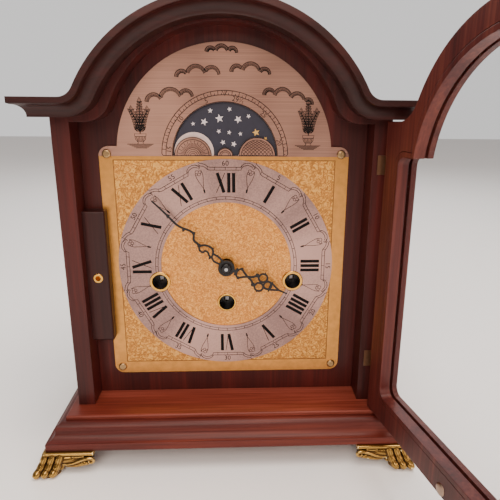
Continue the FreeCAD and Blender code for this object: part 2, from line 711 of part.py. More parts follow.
def chapter_ring():
    y1 = MASK_Y - DIAL_T
    b = cyl_y(0, DIAL_Z, RING_R, y1 - RING_T, y1)
    b = b.cut(cyl_y(0, DIAL_Z, RING_IN, y1 - RING_T - 1, y1 + 1))
    for x, up in WIND:
        if abs(x) > 1:
            b = b.cut(cyl_y(x, DIAL_Z + up, WIND_R + WIND_WALL, y1 - RING_T - 1, y1 + 1))
    return b.cut(box(-RING_R, RING_R, y1 - RING_T - 1, y1 + 1, DIAL_Z + SILVER_UP, DIAL_Z + 99))


def dial_screws():
    items = []
    for x in (-SCREW_X, SCREW_X):
        for up in (-SCREW_UP, SCREW_UP):
            top = DIAL_Y if up > 0 else MASK_Y - DIAL_T
            z = DIAL_Z + up
            head = cyl_y(x, z, 3.4, top - 1.6, top)
            head = head.makeFillet(1.3, [e for e in head.Edges
                                         if abs(e.CenterOfMass.y - top + 1.6) < 1e-6])
            items.append(fuse([head, cyl_y(x, z, 1.6, top, MASK_Y + 6)]))
    return Part.makeCompound(items)


def winding_bushes():
    items = []
    for x, up in WIND:
        z = DIAL_Z + up
        side = abs(x) > 1
        face = MASK_Y - DIAL_T - (RING_T if side else 0)
        rim = WIND_RIM_SIDE if side else WIND_RIM_MID
        flange = cyl_y(x, z, rim, face - WIND_RIM_T, face)
        flange = flange.makeFillet(0.7, [e for e in flange.Edges
                                         if abs(e.CenterOfMass.y - face + WIND_RIM_T) < 1e-6])
        tube = cyl_y(x, z, WIND_R + WIND_WALL - 0.02, face, MASK_Y - DIAL_T + WIND_TUBE)
        items.append(fuse([flange, tube]).cut(cyl_y(x, z, WIND_R, face - 3, MASK_Y + 20)))
    return Part.makeCompound(items)


save(dial_plate(), "dial_plate")
save(arch_plate(), "dial_arch_plate")
save(chapter_ring(), "chapter_ring")
save(dial_screws(), "dial_screws")
save(winding_bushes(), "winding_hole_bushes")

# mask with its screw holes
mask = mask_board()
for sx in (-SCREW_X, SCREW_X):
    for up in (-SCREW_UP, SCREW_UP):
        mask = mask.cut(cyl_y(sx, DIAL_Z + up, 1.6, MASK_Y - 1, MASK_Y + 6.001))
save(mask, "mask_board")

# ---- moon disc behind the arch: one turn in two lunations ----
MOON_Z = DIAL_Z + ARCH_PLATE_UP


def moon_disc():
    y0 = MASK_Y + MOON_GAP
    d = cyl_y(0, MOON_Z, MOON_R, y0, y0 + MOON_T)
    hub = cyl_y(0, MOON_Z, 4.0, y0 + MOON_T, y0 + MOON_T + 2.5)
    d = fuse([d, hub]).cut(cyl_y(0, MOON_Z, 1.5 + FIT, y0 - 1, y0 + 6))
    return d


def moon_stud():
    y0 = MASK_Y
    return fuse([cyl_y(0, MOON_Z, 1.5, y0 + 0.001, y0 + 7.0),
                 box(-5, 5, y0 + 7.0, y0 + MASK_T, MOON_Z - 6, MOON_Z + 4),
                 box(-ARCH_PLATE_R + 5, ARCH_PLATE_R - 5, y0 + MASK_T, y0 + MASK_T + 2,
                     MOON_Z - 6, MOON_Z + 4)])


save(moon_disc(), "moon_disc")
save(moon_stud(), "moon_bridge")


# ---- hands: flat pierced plates, drawn pointing to twelve ----
def smooth(points, steps=4):
    """Points along a soft curve through the given ones."""
    out = []
    n = len(points)
    for i in range(n - 1):
        p0, p1, p2, p3 = (points[max(0, min(n - 1, j))] for j in (i - 1, i, i + 1, i + 2))
        for k in range(steps):
            t = k / steps
            c = [0.5 * (2 * p1[m] + (p2[m] - p0[m]) * t
                        + (2 * p0[m] - 5 * p1[m] + 4 * p2[m] - p3[m]) * t * t
                        + (3 * p1[m] - p0[m] - 3 * p2[m] + p3[m]) * t ** 3) for m in (0, 1)]
            out.append((c[0], c[1]))
    return out + [tuple(points[-1])]


def blade(points, y0, y1):
    """Straight-sided plate; points are (up the hand, to its right)."""
    pts = [V(x, y0, z) for z, x in points]
    return Part.Face(Part.makePolygon(pts + pts[:1])).extrude(V(0, y1 - y0, 0))


def strand(points, w0, w1, y0, y1):
    """Band of changing width along a soft curve."""
    line = smooth(points)
    left, right = [], []
    n = len(line)
    for i, (z, x) in enumerate(line):
        za, xa = line[max(0, i - 1)]
        zb, xb = line[min(n - 1, i + 1)]
        d = math.hypot(zb - za, xb - xa)
        h = (w0 + (w1 - w0) * i / (n - 1)) / 2
        nz, nx = -(xb - xa) / d * h, (zb - za) / d * h
        left.append((z + nz, x + nx))
        right.append((z - nz, x - nx))
    return blade(left + right[::-1], y0, y1)


def disc(z, x, r, y0, y1, n=20):
    """Round boss with flat facets; they let the pierced plates join cleanly."""
    a = [2 * math.pi * (i + 0.37) / n for i in range(n)]
    return blade([(z + r * math.cos(t), x + r * math.sin(t)) for t in a], y0, y1)


def hoop(z, x, r, w, y0, y1):
    return disc(z, x, r + w / 2, y0, y1, 28).cut(disc(z, x, r - w / 2, y0 - 1, y1 + 1, 22))


def sized(points, k):
    return [(z * k, x * k) for z, x in points]


def minute_hand():
    y1 = DIAL_Y - HOUR_Y - HAND_STEP
    y0 = y1 - HAND_T
    k = MIN_L / 78.4
    w = 1.25
    strands = [
        # lower and upper strand of the open scroll next to the boss
        ([(5.4, 2.3), (9.5, 2.7), (12.0, 2.5), (16.3, 1.6)], w, w),
        ([(5.4, -0.6), (8.5, -1.8), (11.0, -2.3), (13.5, -1.8), (15.0, -0.6), (16.0, 1.4),
          (17.5, 3.4), (20.0, 4.2), (23.0, 3.7), (25.5, 2.2), (27.0, 0.4), (28.3, -1.0)], w, w + 0.2),
        ([(14.0, -1.4), (16.8, -1.6), (19.0, -0.6), (21.0, -0.4), (22.3, -1.3), (22.2, -2.7),
          (23.5, -3.5), (25.5, -3.5), (27.2, -2.4), (28.4, -0.9)], w, w),
        # shaft and pointer
        ([(28.2, -0.9), (30.5, -0.7), (33.0, -0.9), (35.0, -0.1), (36.4, 1.6), (38.3, 3.1),
          (41.0, 3.0), (44.0, 1.9), (47.0, 0.6), (49.5, -0.1), (52.5, -0.6), (56.0, -0.6),
          (61.0, -0.3)], w + 0.4, w + 0.1),
        ([(60.5, -0.3), (66.0, -0.1), (72.0, 0.0), (78.4, 0.0)], w + 0.1, 0.8),
    ]
    leaves = [
        [(14.2, -1.2), (15.4, -4.3), (17.2, -1.5)],
        [(17.0, 3.2), (18.9, 5.6), (20.6, 4.0)],
        [(10.6, 2.3), (12.2, 3.9), (13.6, 2.2)],
        [(36.0, 1.6), (37.6, 5.0), (40.4, 3.2)],
        [(44.3, 2.0), (45.0, -1.8), (47.8, 0.4)],
        [(60.4, -2.2), (61.4, -0.3), (60.6, 1.7), (64.2, -0.1)],
    ]
    items = [disc(0, 0, BOSS_R, y0, y1, 40)]
    items += [strand(sized(pts, k), a, b, y0, y1) for pts, a, b in strands]
    items += [blade(sized(pts, k), y0, y1) for pts in leaves]
    items.append(disc(28.3 * k, -1.0 * k, 1.5, y0, y1))
    return fuse(items)


def hour_hand():
    y1 = DIAL_Y - HOUR_Y
    y0 = y1 - HAND_T
    k = HOUR_L / 54.2
    w = 1.2
    items = [disc(0, 0, BOSS_R - 0.6, y0, y1, 40)]
    items.append(blade(sized([(4.5, -1.4), (7.6, -1.3), (7.9, -3.3), (9.3, -3.0), (9.9, -1.0),
                              (9.9, 1.0), (9.3, 3.0), (7.9, 3.3), (7.6, 1.3), (4.5, 1.4)], k), y0, y1))
    items.append(hoop(30.7 * k, -4.15 * k, 3.5 * k, w, y0, y1))
    items.append(hoop(30.7 * k, 4.17 * k, 3.5 * k, w, y0, y1))
    items.append(hoop(36.7 * k, 0.03, 3.2 * k, w, y0, y1))
    for side in (-1, 1):
        def lay(points, side=side):
            return sized([(z, x * side) for z, x in points], k)
        items.append(strand(lay([(9.4, 1.1), (10.2, 2.9), (12.0, 3.9), (14.5, 2.4), (18.7, 0.0),
                                 (22.6, -1.6), (25.4, -4.1)]), w, w + 0.3, y0, y1))
        items.append(disc(12.0 * k, 3.95 * k * side, 1.15, y0, y1, 14))
        items.append(disc(25.5 * k, 4.25 * k * side, 1.6, y0, y1, 16))
        items.append(blade(lay([(29.7, 7.4), (30.6, 9.4), (31.7, 7.4)]), y0, y1))
        items.append(strand(lay([(33.8, 3.3), (37.0, 3.3), (39.6, 2.8), (42.6, 1.6), (46.2, 0.3)]),
                            w, w, y0, y1))
        items.append(blade(lay([(38.6, 2.6), (39.3, 5.2), (40.4, 2.5)]), y0, y1))
    items.append(blade(sized([(38.4, -3.2), (39.9, -3.0), (40.4, 0.02), (39.9, 3.0), (38.4, 3.2),
                              (38.3, 0.05)], k), y0, y1))
    items.append(blade(sized([(44.6, -0.9), (54.2, -0.3), (54.2, 0.3), (44.6, 0.9)], k), y0, y1))
    return fuse(items)


def turned(shape, deg, x=0.0, z=None):
    """Clockwise from twelve, seen from the front, and up to the dial's centre."""
    s = shape.copy()
    s.rotate(V(0, 0, 0), V(0, 1, 0), deg)
    s.translate(V(x, 0, DIAL_Z if z is None else z))
    return s


HOUR_PIPE_R = 3.4
CANNON_R = 2.5
CENTRE_R = 1.4


hour = turned(hour_hand(), HOUR_AT)
hour = hour.cut(cyl_y(0, DIAL_Z, HOUR_PIPE_R, DIAL_Y - 20, MOVE_Y))
save(hour, "hour_hand")
minute = turned(minute_hand(), MIN_AT)
minute = minute.cut(cyl_y(0, DIAL_Z, CANNON_R, DIAL_Y - 20, MOVE_Y))
save(minute, "minute_hand")


# ---- motion work: cannon pinion, minute wheel and pinion, hour wheel ----
MODULE = 0.9
CANNON_N, MINUTE_N, MINUTE_PINION_N, HOUR_N = 12, 36, 12, 48
HOUR_MODULE = MODULE * (CANNON_N + MINUTE_N) / (MINUTE_PINION_N + HOUR_N)
MINUTE_WHEEL_AT = 60.0   # degrees from twelve, seen from the front
MOTION_T = 1.6
MESH_EASE = 0.25


def gear(n, m, y0, y1, phase=0.0, x=0.0, z=0.0):
    """Spur wheel with straight-flanked teeth. phase turns it, in degrees."""
    rp = n * m / 2
    ra, rf = rp + 0.85 * m, rp - 1.15 * m
    pitch = 2 * math.pi / n
    pts = []
    for i in range(n):
        c = math.radians(phase) + i * pitch
        for rad, half in ((rf, 0.33), (rp, 0.225), (ra, 0.12)):
            pts.append((rad, c - half * pitch))
        for rad, half in ((ra, 0.12), (rp, 0.225), (rf, 0.33)):
            pts.append((rad, c + half * pitch))
    pv = [V(x + r * math.sin(a), y0, z + r * math.cos(a)) for r, a in pts]
    return Part.Face(Part.makePolygon(pv + pv[:1])).extrude(V(0, y1 - y0, 0))


CENTRES = MODULE * (CANNON_N + MINUTE_N) / 2 + MESH_EASE
MW_X = CENTRES * math.sin(math.radians(MINUTE_WHEEL_AT))
MW_UP = CENTRES * math.cos(math.radians(MINUTE_WHEEL_AT))
# the lower wheel sits next to the front plate, the upper pair in front of it
LOW_Y = MOVE_Y - 1.2 - MOTION_T
UP_Y = LOW_Y - 0.8 - MOTION_T


def cannon_pinion():
    y1 = DIAL_Y - HOUR_Y - HAND_STEP
    pipe = cyl_y(0, DIAL_Z, CANNON_R, y1 - HAND_T, LOW_Y)
    teeth = gear(CANNON_N, MODULE, LOW_Y, LOW_Y + MOTION_T, MINUTE_WHEEL_AT, 0, DIAL_Z)
    return fuse([pipe, teeth]).cut(cyl_y(0, DIAL_Z, CENTRE_R, y1 - 5, MOVE_Y))


def hour_wheel():
    y1 = DIAL_Y - HOUR_Y
    pipe = cyl_y(0, DIAL_Z, HOUR_PIPE_R, y1 - HAND_T, UP_Y)
    turn = MINUTE_WHEEL_AT + 180.0 / HOUR_N
    teeth = gear(HOUR_N, HOUR_MODULE, UP_Y, UP_Y + MOTION_T, turn, 0, DIAL_Z)
    return fuse([pipe, teeth]).cut(cyl_y(0, DIAL_Z, CANNON_R + FIT, y1 - 5, MOVE_Y))


def minute_wheel():
    x, z = MW_X, DIAL_Z + MW_UP
    turn = MINUTE_WHEEL_AT + 180.0
    low = gear(MINUTE_N, MODULE, LOW_Y, LOW_Y + MOTION_T, turn + 180.0 / MINUTE_N, x, z)
    up = gear(MINUTE_PINION_N, HOUR_MODULE, UP_Y, UP_Y + MOTION_T, turn, x, z)
    neck = cyl_y(x, z, 3.0, UP_Y + MOTION_T, LOW_Y)
    return fuse([low, up, neck]).cut(cyl_y(x, z, 1.2 + FIT, UP_Y - 1, MOVE_Y))


def minute_stud():
    x, z = MW_X, DIAL_Z + MW_UP
    return fuse([cyl_y(x, z, 1.2, UP_Y - 0.6, MOVE_Y), cyl_y(x, z, 2.4, UP_Y - 1.4, UP_Y - 0.4)])


def centre_arbor():
    """Carries the hands through the front plate, with the centre wheel between the plates."""
    y0 = DIAL_Y - HOUR_Y - HAND_STEP - HAND_T - 3.0
    arbor = cyl_y(0, DIAL_Z, CENTRE_R, y0, MOVE_Y + PLATE_T + PLATE_GAP - 0.6)
    wheel = gear(60, 0.9, MOVE_Y + PLATE_T + 27.0, MOVE_Y + PLATE_T + 28.6, 0, 0, DIAL_Z)
    rim = cyl_y(0, DIAL_Z, 22.0, MOVE_Y + 5, MOVE_Y + PLATE_T + 40)
    hub = cyl_y(0, DIAL_Z, 6.0, MOVE_Y + 5, MOVE_Y + PLATE_T + 40)
    spokes = [box(-1.6, 1.6, MOVE_Y + 5, MOVE_Y + 40, DIAL_Z - 23, DIAL_Z + 23),
              box(-23, 23, MOVE_Y + 5, MOVE_Y + 40, DIAL_Z - 1.6, DIAL_Z + 1.6)]
    wheel = wheel.cut(rim.cut(fuse([hub] + spokes)))
    return fuse([arbor, wheel])


def hand_nut():
    y1 = DIAL_Y - HOUR_Y - HAND_STEP - HAND_T
    nut = cyl_y(0, DIAL_Z, NUT_R, y1 - NUT_T, y1)
    nut = nut.makeFillet(1.5, [e for e in nut.Edges if abs(e.CenterOfMass.y - y1 + NUT_T) < 1e-6])
    return nut.cut(cyl_y(0, DIAL_Z, CENTRE_R, y1 - 5, y1 + 1))


save(cannon_pinion(), "cannon_pinion")
save(hour_wheel(), "hour_wheel")
save(minute_wheel(), "minute_wheel")
save(minute_stud(), "minute_wheel_stud")
save(centre_arbor(), "centre_arbor")
save(hand_nut(), "hand_nut")

# ---- movement: two plates on pillars, three barrels, balance, hammers and rods ----
BACKPLATE_Y = MOVE_Y + PLATE_T + PLATE_GAP
PILLAR_X, PILLAR_UP = PLATE_W / 2 - 8, PLATE_H / 2 - 8
BALANCE_X, BALANCE_UP, BALANCE_R = 26.0, 44.0, 11.0


def plate(y0, back):
    b = box(-PLATE_W / 2, PLATE_W / 2, y0, y0 + PLATE_T, MOVE_Z - PLATE_H / 2, MOVE_Z + PLATE_H / 2)
    corners = [(sx * PLATE_W / 2, MOVE_Z + sz * PLATE_H / 2) for sx in (-1, 1) for sz in (-1, 1)]
    b = round_along_y(b, corners, 6.0)
    for x, up in WIND:
        r = ARBOR_R + FIT
        b = b.cut(cyl_y(x, DIAL_Z + up, r, y0 - 1, y0 + 5))
    r = CENTRE_R + FIT
    b = b.cut(cyl_y(0, DIAL_Z, r, y0 - 1, y0 + 5))
    if back:
        b = b.cut(cyl_y(BALANCE_X, MOVE_Z + BALANCE_UP, 1.0 + FIT, y0 - 1, y0 + 5))
    else:
        b = b.cut(cyl_y(MW_X, DIAL_Z + MW_UP, 1.2, y0 - 1, y0 + 5))
    return b


def pillars():
    items = []
    for sx in (-1, 1):
        for sz in (-1, 1):
            x, z = sx * PILLAR_X, MOVE_Z + sz * PILLAR_UP
            items.append(cyl_y(x, z, PILLAR_R, MOVE_Y + PLATE_T, BACKPLATE_Y))
            items.append(Part.makeCylinder(4.6, 2.6, V(x, BACKPLATE_Y + PLATE_T, z), V(0, 1, 0)))
    return Part.makeCompound(items)


def feet_brackets():
    """Steel legs that hold the movement to the back of the mask."""
    items = []
    for sx in (-1, 1):
        for sz in (-1, 1):
            x, z = sx * (IN_X - 18), MOVE_Z + sz * (PLATE_H / 2 - 20)
            x0, x1 = sorted((sx * (PLATE_W / 2 - 6), sx * (IN_X - 10)))
            leg = box(x0, x1, MOVE_Y - 1.5, MOVE_Y, z - 6, z + 6)
            pad = cyl_y(x, z, 3.0, MASK_Y + MASK_T, MOVE_Y - 1.5)
            items.append(fuse([leg, pad]))
    return Part.makeCompound(items)


def barrel(x, up):
    z = DIAL_Z + up
    y0 = MOVE_Y + PLATE_T + 2.0
    drum = cyl_y(x, z, BARREL_R, y0 + 2.0, y0 + BARREL_L)
    great = gear(66, 0.62, y0, y0 + 2.0, 0, x, z)
    end = DIAL_Y + WIND_DEEP
    arbor = cyl_y(x, z, ARBOR_R, end + 6.0, BACKPLATE_Y + PLATE_T + 3.0)
    square = box(x - 1.5, x + 1.5, end, end + 6.2, z - 1.5, z + 1.5)
    ratchet = gear(18, 0.9, MOVE_Y + PLATE_T + 0.3, MOVE_Y + PLATE_T + 1.6, 0, x, z)
    return fuse([drum, great, arbor, square, ratchet])


def balance():
    x, z = BALANCE_X, MOVE_Z + BALANCE_UP
    y = BACKPLATE_Y + PLATE_T + 6.0
    rim = cyl_y(x, z, BALANCE_R, y, y + 1.4).cut(cyl_y(x, z, BALANCE_R - 1.6, y - 1, y + 3))
    arm = box(x - BALANCE_R + 1, x + BALANCE_R - 1, y, y + 1.0, z - 0.9, z + 0.9)
    staff = cyl_y(x, z, 1.0, BACKPLATE_Y - 4.0, y + 4.0)
    hub = cyl_y(x, z, 2.2, y - 0.6, y + 1.8)
    return fuse([rim, arm, staff, hub])


def balance_cock():
    x, z = BALANCE_X, MOVE_Z + BALANCE_UP
    y = BACKPLATE_Y + PLATE_T
    post = box(x + BALANCE_R + 2, x + BALANCE_R + 9, y, y + 10.6, z - 4, z + 4)
    arm = box(x - 3, x + BALANCE_R + 9, y + 8.6, y + 10.6, z - 3, z + 3)
    return fuse([post, arm]).cut(cyl_y(x, z, 1.0 + FIT, y, y + 20))


save(plate(MOVE_Y, False), "movement_front_plate")
save(plate(BACKPLATE_Y, True), "movement_back_plate")
save(pillars(), "movement_pillars")
save(feet_brackets(), "movement_brackets")
save(barrel(*WIND[0]), "barrel_chime")
save(barrel(*WIND[1]), "barrel_time")
save(barrel(*WIND[2]), "barrel_strike")
save(balance(), "balance_wheel")
save(balance_cock(), "balance_cock")

# hammers swing on one shaft behind the movement and fall on the rods below
HAM_N = 4
HAM_Y0 = BACKPLATE_Y + PLATE_T + 14.0
HAM_STEP = 7.0
HAM_X = -36.0
HAM_SHAFT_R = 1.5
HAM_HEAD_R = 2.8
HAM_HEAD_L = 8.0
HAM_HEAD_UP = 1.5        # head's top over the shaft's axis
HAM_AT_REST = 1.0        # between head and rod
ROD_Z = FLOOR_Z + ROD_UP
HAM_Z = ROD_Z + ROD_R + HAM_AT_REST + HAM_HEAD_L - HAM_HEAD_UP


def hammer(i):
    y = HAM_Y0 + HAM_STEP * i
    hub = cyl_y(HAM_X, HAM_Z, 3.0, y - 2.0, y + 2.0)
    stem = box(HAM_X, HAM_X + 14, y - 0.6, y + 0.6, HAM_Z - 0.6, HAM_Z + 0.6)
    head_x = HAM_X + 14.0
    top = HAM_Z + HAM_HEAD_UP
    head = cyl_z(head_x, y, HAM_HEAD_R, top - HAM_HEAD_L, top)
    return fuse([hub, stem, head]).cut(cyl_y(HAM_X, HAM_Z, HAM_SHAFT_R + FIT, y - 5, y + 5))


def hammer_shaft():
    y1 = HAM_Y0 + HAM_STEP * HAM_N
    shaft = cyl_y(HAM_X, HAM_Z, HAM_SHAFT_R, BACKPLATE_Y + PLATE_T, y1 + 1)
    collar = cyl_y(HAM_X, HAM_Z, 3.0, y1 - 3.0, y1 + 1)
    first = cyl_y(HAM_X, HAM_Z, 3.0, BACKPLATE_Y + PLATE_T, HAM_Y0 - 3.0)
    return fuse([shaft, collar, first])


for i in range(HAM_N):
    save(hammer(i), "hammer_%d" % (i + 1))
save(hammer_shaft(), "hammer_shaft")


def rod_block():
    y0 = HAM_Y0 - 6.0
    y1 = HAM_Y0 + HAM_STEP * HAM_N
    b = box(BLOCK_X - 8, BLOCK_X + 8, y0, y1, FLOOR_Z, ROD_Z + 8)
    b = b.makeFillet(2.0, [e for e in b.Edges if abs(e.CenterOfMass.z - ROD_Z - 8) < 1e-6])
    for i in range(HAM_N):
        y = HAM_Y0 + HAM_STEP * i
        b = b.cut(cyl_x(y, ROD_Z, ROD_R, BLOCK_X, BLOCK_X + 9))
    return b


def rods():
    items = []
    for i in range(HAM_N):
        y = HAM_Y0 + HAM_STEP * i
        items.append(cyl_x(y, ROD_Z, ROD_R, BLOCK_X, 70.0 - 9.0 * i))
    return Part.makeCompound(items)


save(rod_block(), "chime_rod_block")
save(rods(), "chime_rods")

# ---- claw feet at the four corners ----
CLAW_PLATE_T = 3.0
CLAW_OVER = 2.9          # the plate shows this far past the plinth
CLAW_ARM = 38.0
CLAW_BAND = 13.0
TOE_R = 2.9
TOE_SPAN = 6.2           # between two toes, along the plinth
TOE_REACH = 8.6          # tips past the plinth


def ellipse_wire(c, u, v, a, b, n=12):
    pts = []
    for i in range(n):
        t = 2 * math.pi * i / n
        pts.append(c + u * (a * math.cos(t)) + v * (b * math.sin(t)))
    return Part.makePolygon(pts + pts[:1])


def tapered(rings):
    return Part.makeLoft(rings, True, False)


def claw_toe(k):
    """Toe k, counted from the corner: it leaves the plate, swells at its joints and ends in a claw."""
    tip = V(TOE_REACH - TOE_SPAN * k, TOE_REACH - 0.3 * k, 1.5)
    root = V(0.6 - TOE_SPAN * k * 0.95, 1.0 if k else 0.6, FOOT_H - CLAW_PLATE_T + 0.4)
    axis = (tip - root).normalize()
    side = axis.cross(V(0, 0, 1)).normalize()
    lift = side.cross(axis)
    rings = []
    for t, r, up in ((0.0, 0.85, 0), (0.2, 1.0, 0.3), (0.33, 0.82, 0), (0.5, 1.05, 0.5), (0.63, 0.86, 0.2),
                     (0.82, 1.1, 0.9), (0.95, 0.8, 0.4), (1.03, 0.35, -0.2)):
        c = root + (tip - root) * t + V(0, 0, up)
        rings.append(ellipse_wire(c, side, lift, TOE_R * r, TOE_R * r))
    return tapered(rings)


def claw_wing():
    """Leafy bracket under one arm of the plate: a hollow-backed stem that ends in a scroll."""
    y = -1.4
    rings = []
    for out, z, high, thick in ((4.0, 11.4, 6.2, 3.6), (12.0, 12.0, 5.6, 3.8), (19.0, 12.6, 4.9, 3.2),
                                (26.0, 12.3, 4.9, 3.6), (32.0, 12.6, 4.5, 3.4), (36.0, 14.2, 2.8, 2.4)):
        rings.append(ellipse_wire(V(-out, y, z), V(0, 1, 0), V(0, 0, 1), thick, high))
    items = [tapered(rings)]
    for out, z, lean in ((16.0, 12.4, 0.55), (21.5, 12.2, 0.5), (27.0, 12.2, 0.42)):
        leaf = []
        for t, r in ((-1.0, 0.5), (-0.4, 1.4), (0.3, 1.5), (1.0, 0.5)):
            leaf.append(ellipse_wire(V(-out - 4.0 * t, y + 2.6, z - 6.0 * lean * t), V(0, 1, 0),
                                     V(0, 0, 1), r, r * 1.15))
        items.append(tapered(leaf))
    curl = Part.makeCylinder(3.5, 4.6, V(-32.2, y - 0.4, 12.0), V(0, 1, 0))
    curl = curl.makeFillet(1.4, [curl.Edges[0], curl.Edges[2]])
    return items + [curl]


def claw_foot():
    """Drawn for the corner at the origin, outwards along +X and +Y; z 0 is the table."""
    top = FOOT_H
    o = CLAW_OVER
    low = top - CLAW_PLATE_T
    outline = [V(-CLAW_ARM, o, low), V(o, o, low), V(o, -CLAW_ARM, low),
               V(-CLAW_BAND, -CLAW_ARM, low), V(-CLAW_BAND, -CLAW_BAND, low),
               V(-CLAW_ARM, -CLAW_BAND, low)]
    plate = Part.Face(Part.makePolygon(outline + outline[:1])).extrude(V(0, 0, CLAW_PLATE_T))
    rolled = [e for e in plate.Edges if abs(e.CenterOfMass.z - low) < 1e-6
              and (abs(e.CenterOfMass.x - o) < 1e-6 or abs(e.CenterOfMass.y - o) < 1e-6)]
    plate = plate.makeFillet(1.3, rolled)
    d = V(1, 1, 0).normalize()
    s = V(-1, 1, 0).normalize()

    def ring(out, z, a, b):
        return ellipse_wire(d * out + V(0, 0, z), s, d, a, b, 16)

    body = tapered([ring(-8.0, low + 0.4, 14.0, 7.5), ring(-6.0, 12.0, 12.5, 8.0),
                    ring(-3.6, 6.0, 11.5, 8.2), ring(-2.2, 0.0, 10.0, 8.0)])
    half = [claw_toe(1), claw_toe(2)] + claw_wing()
    swap = FreeCAD.Matrix(0, 1, 0, 0, 1, 0, 0, 0, 0, 0, 1, 0, 0, 0, 0, 1)
    other = [k.transformGeometry(swap) for k in half]
    foot = fuse([plate, body, claw_toe(0)] + half + other)
    return foot.common(box(-80, 80, -80, 80, 0, top))


FOOT = claw_foot()


def put_foot(sx, sy):
    f = FOOT.copy()
    if sx < 0:
        f = flip_x(f)
    if sy < 0:
        f = f.mirror(V(0, 0, 0), V(0, 1, 0))
    f.translate(V(sx * PLINTH_W / 2, sy * PLINTH_D / 2, 0))
    return f


for name, sx, sy in (("front_left", -1, -1), ("front_right", 1, -1), ("rear_left", -1, 1),
                     ("rear_right", 1, 1)):
    save(put_foot(sx, sy), "claw_foot_" + name)
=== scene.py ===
import math

import bmesh
import bpy
from mathutils import Matrix, Vector


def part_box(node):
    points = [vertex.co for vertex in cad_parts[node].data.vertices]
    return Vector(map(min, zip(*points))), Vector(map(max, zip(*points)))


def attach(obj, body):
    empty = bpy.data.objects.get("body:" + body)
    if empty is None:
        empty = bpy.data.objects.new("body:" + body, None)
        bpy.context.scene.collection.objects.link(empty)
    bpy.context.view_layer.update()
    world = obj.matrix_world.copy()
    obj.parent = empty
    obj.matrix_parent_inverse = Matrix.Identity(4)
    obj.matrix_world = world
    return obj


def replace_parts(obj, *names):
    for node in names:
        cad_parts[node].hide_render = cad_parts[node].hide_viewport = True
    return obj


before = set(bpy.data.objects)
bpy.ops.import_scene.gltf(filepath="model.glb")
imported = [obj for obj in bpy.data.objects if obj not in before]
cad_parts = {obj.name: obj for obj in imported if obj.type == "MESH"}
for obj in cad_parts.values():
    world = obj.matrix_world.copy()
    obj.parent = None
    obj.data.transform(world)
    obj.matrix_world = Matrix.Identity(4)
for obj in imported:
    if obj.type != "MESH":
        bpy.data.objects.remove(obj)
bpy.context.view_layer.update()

MM = 0.001


# ---------------------------------------------------------------------------
# Case boards and mouldings: solid mahogany, moulded and mitred, stained dark
# red-brown and finished in a high-gloss lacquer. The grain runs with the
# length of each board; the lacquer gives a soft sheen over it.
# ---------------------------------------------------------------------------
def srgb(code):
    """Linear colour with alpha from an sRGB hex value."""
    channels = [int(code[i:i + 2], 16) / 255 for i in (1, 3, 5)]
    return [c / 12.92 if c <= 0.04045 else ((c + 0.055) / 1.055) ** 2.4 for c in channels] + [1.0]


def add_node(tree, kind, settings=None, links=None):
    """Adds a node, sets its sockets and properties, and links its inputs."""
    node = tree.nodes.new(kind)
    for key, value in (settings or {}).items():
        if isinstance(key, int) or key in node.inputs:
            node.inputs[key].default_value = value
        else:
            setattr(node, key, value)
    for key, source in (links or {}).items():
        tree.links.new(source, node.inputs[key])
    return node


def new_material(name):
    material = bpy.data.materials.new(name)
    material.use_nodes = True
    tree = material.node_tree
    tree.nodes.clear()
    return material, tree


def close_material(tree, shader):
    add_node(tree, "ShaderNodeOutputMaterial", links={"Surface": shader.outputs[0]})


def ramp(tree, factor, stops):
    node = add_node(tree, "ShaderNodeValToRGB", links={"Fac": factor})
    band = node.color_ramp
    while len(band.elements) < len(stops):
        band.elements.new(0.5)
    for element, (place, code) in zip(band.elements, stops):
        element.position = place
        element.color = srgb(code)
    return node


GRAIN_PITCH = 2.2        # mm between grain lines
GRAIN_LENGTH = 90.0      # mm along one grain line
FIGURE_WIDE, FIGURE_LONG = 26, 240           # mm, the broad darker and lighter bands
EDGE_R = 0.7             # mm, edges rubbed round before lacquering


def lacquered_mahogany(name, deep, middle, light, along, sheen=0.2):
    """Grain as noise drawn out along one axis: fine dark pores over broad figure."""
    material, tree = new_material(name)
    place = add_node(tree, "ShaderNodeTexCoord")
    fine, broad = [1 / (GRAIN_PITCH * MM)] * 3, [1 / (FIGURE_WIDE * MM)] * 3
    fine[along], broad[along] = 1 / (GRAIN_LENGTH * MM), 1 / (FIGURE_LONG * MM)
    pores = add_node(tree, "ShaderNodeMapping", {"Scale": fine},
                     {"Vector": place.outputs["Object"]})
    figure = add_node(tree, "ShaderNodeMapping", {"Scale": broad},
                      {"Vector": place.outputs["Object"]})
    a = add_node(tree, "ShaderNodeTexNoise", {"Scale": 1.0, "Detail": 4.0, "Roughness": 0.6},
                 {"Vector": pores.outputs[0]})
    b = add_node(tree, "ShaderNodeTexNoise", {"Scale": 1.0, "Detail": 2.0, "Distortion": 0.4},
                 {"Vector": figure.outputs[0]})
    both = add_node(tree, "ShaderNodeMath", {"operation": "MULTIPLY_ADD", 1: 0.45, 2: 0.0},
                    {0: a.outputs["Fac"]})
    mixed = add_node(tree, "ShaderNodeMath", {"operation": "MULTIPLY_ADD", 1: 0.55},
                     {0: b.outputs["Fac"], 2: both.outputs[0]})
    colour = ramp(tree, mixed.outputs[0], [(0.34, deep), (0.5, middle), (0.66, light)])
    worn_edge = add_node(tree, "ShaderNodeBevel", {"samples": 4, "Radius": EDGE_R * MM})
    shader = add_node(tree, "ShaderNodeBsdfPrincipled",
                      {"Roughness": 0.5, "IOR": 1.5, "Specular IOR Level": 0.2,
                       "Coat Weight": 0.22, "Coat Roughness": sheen, "Coat IOR": 1.4},
                      {"Base Color": colour.outputs["Color"], "Normal": worn_edge.outputs[0],
                       "Coat Normal": worn_edge.outputs[0]})
    close_material(tree, shader)
    return material


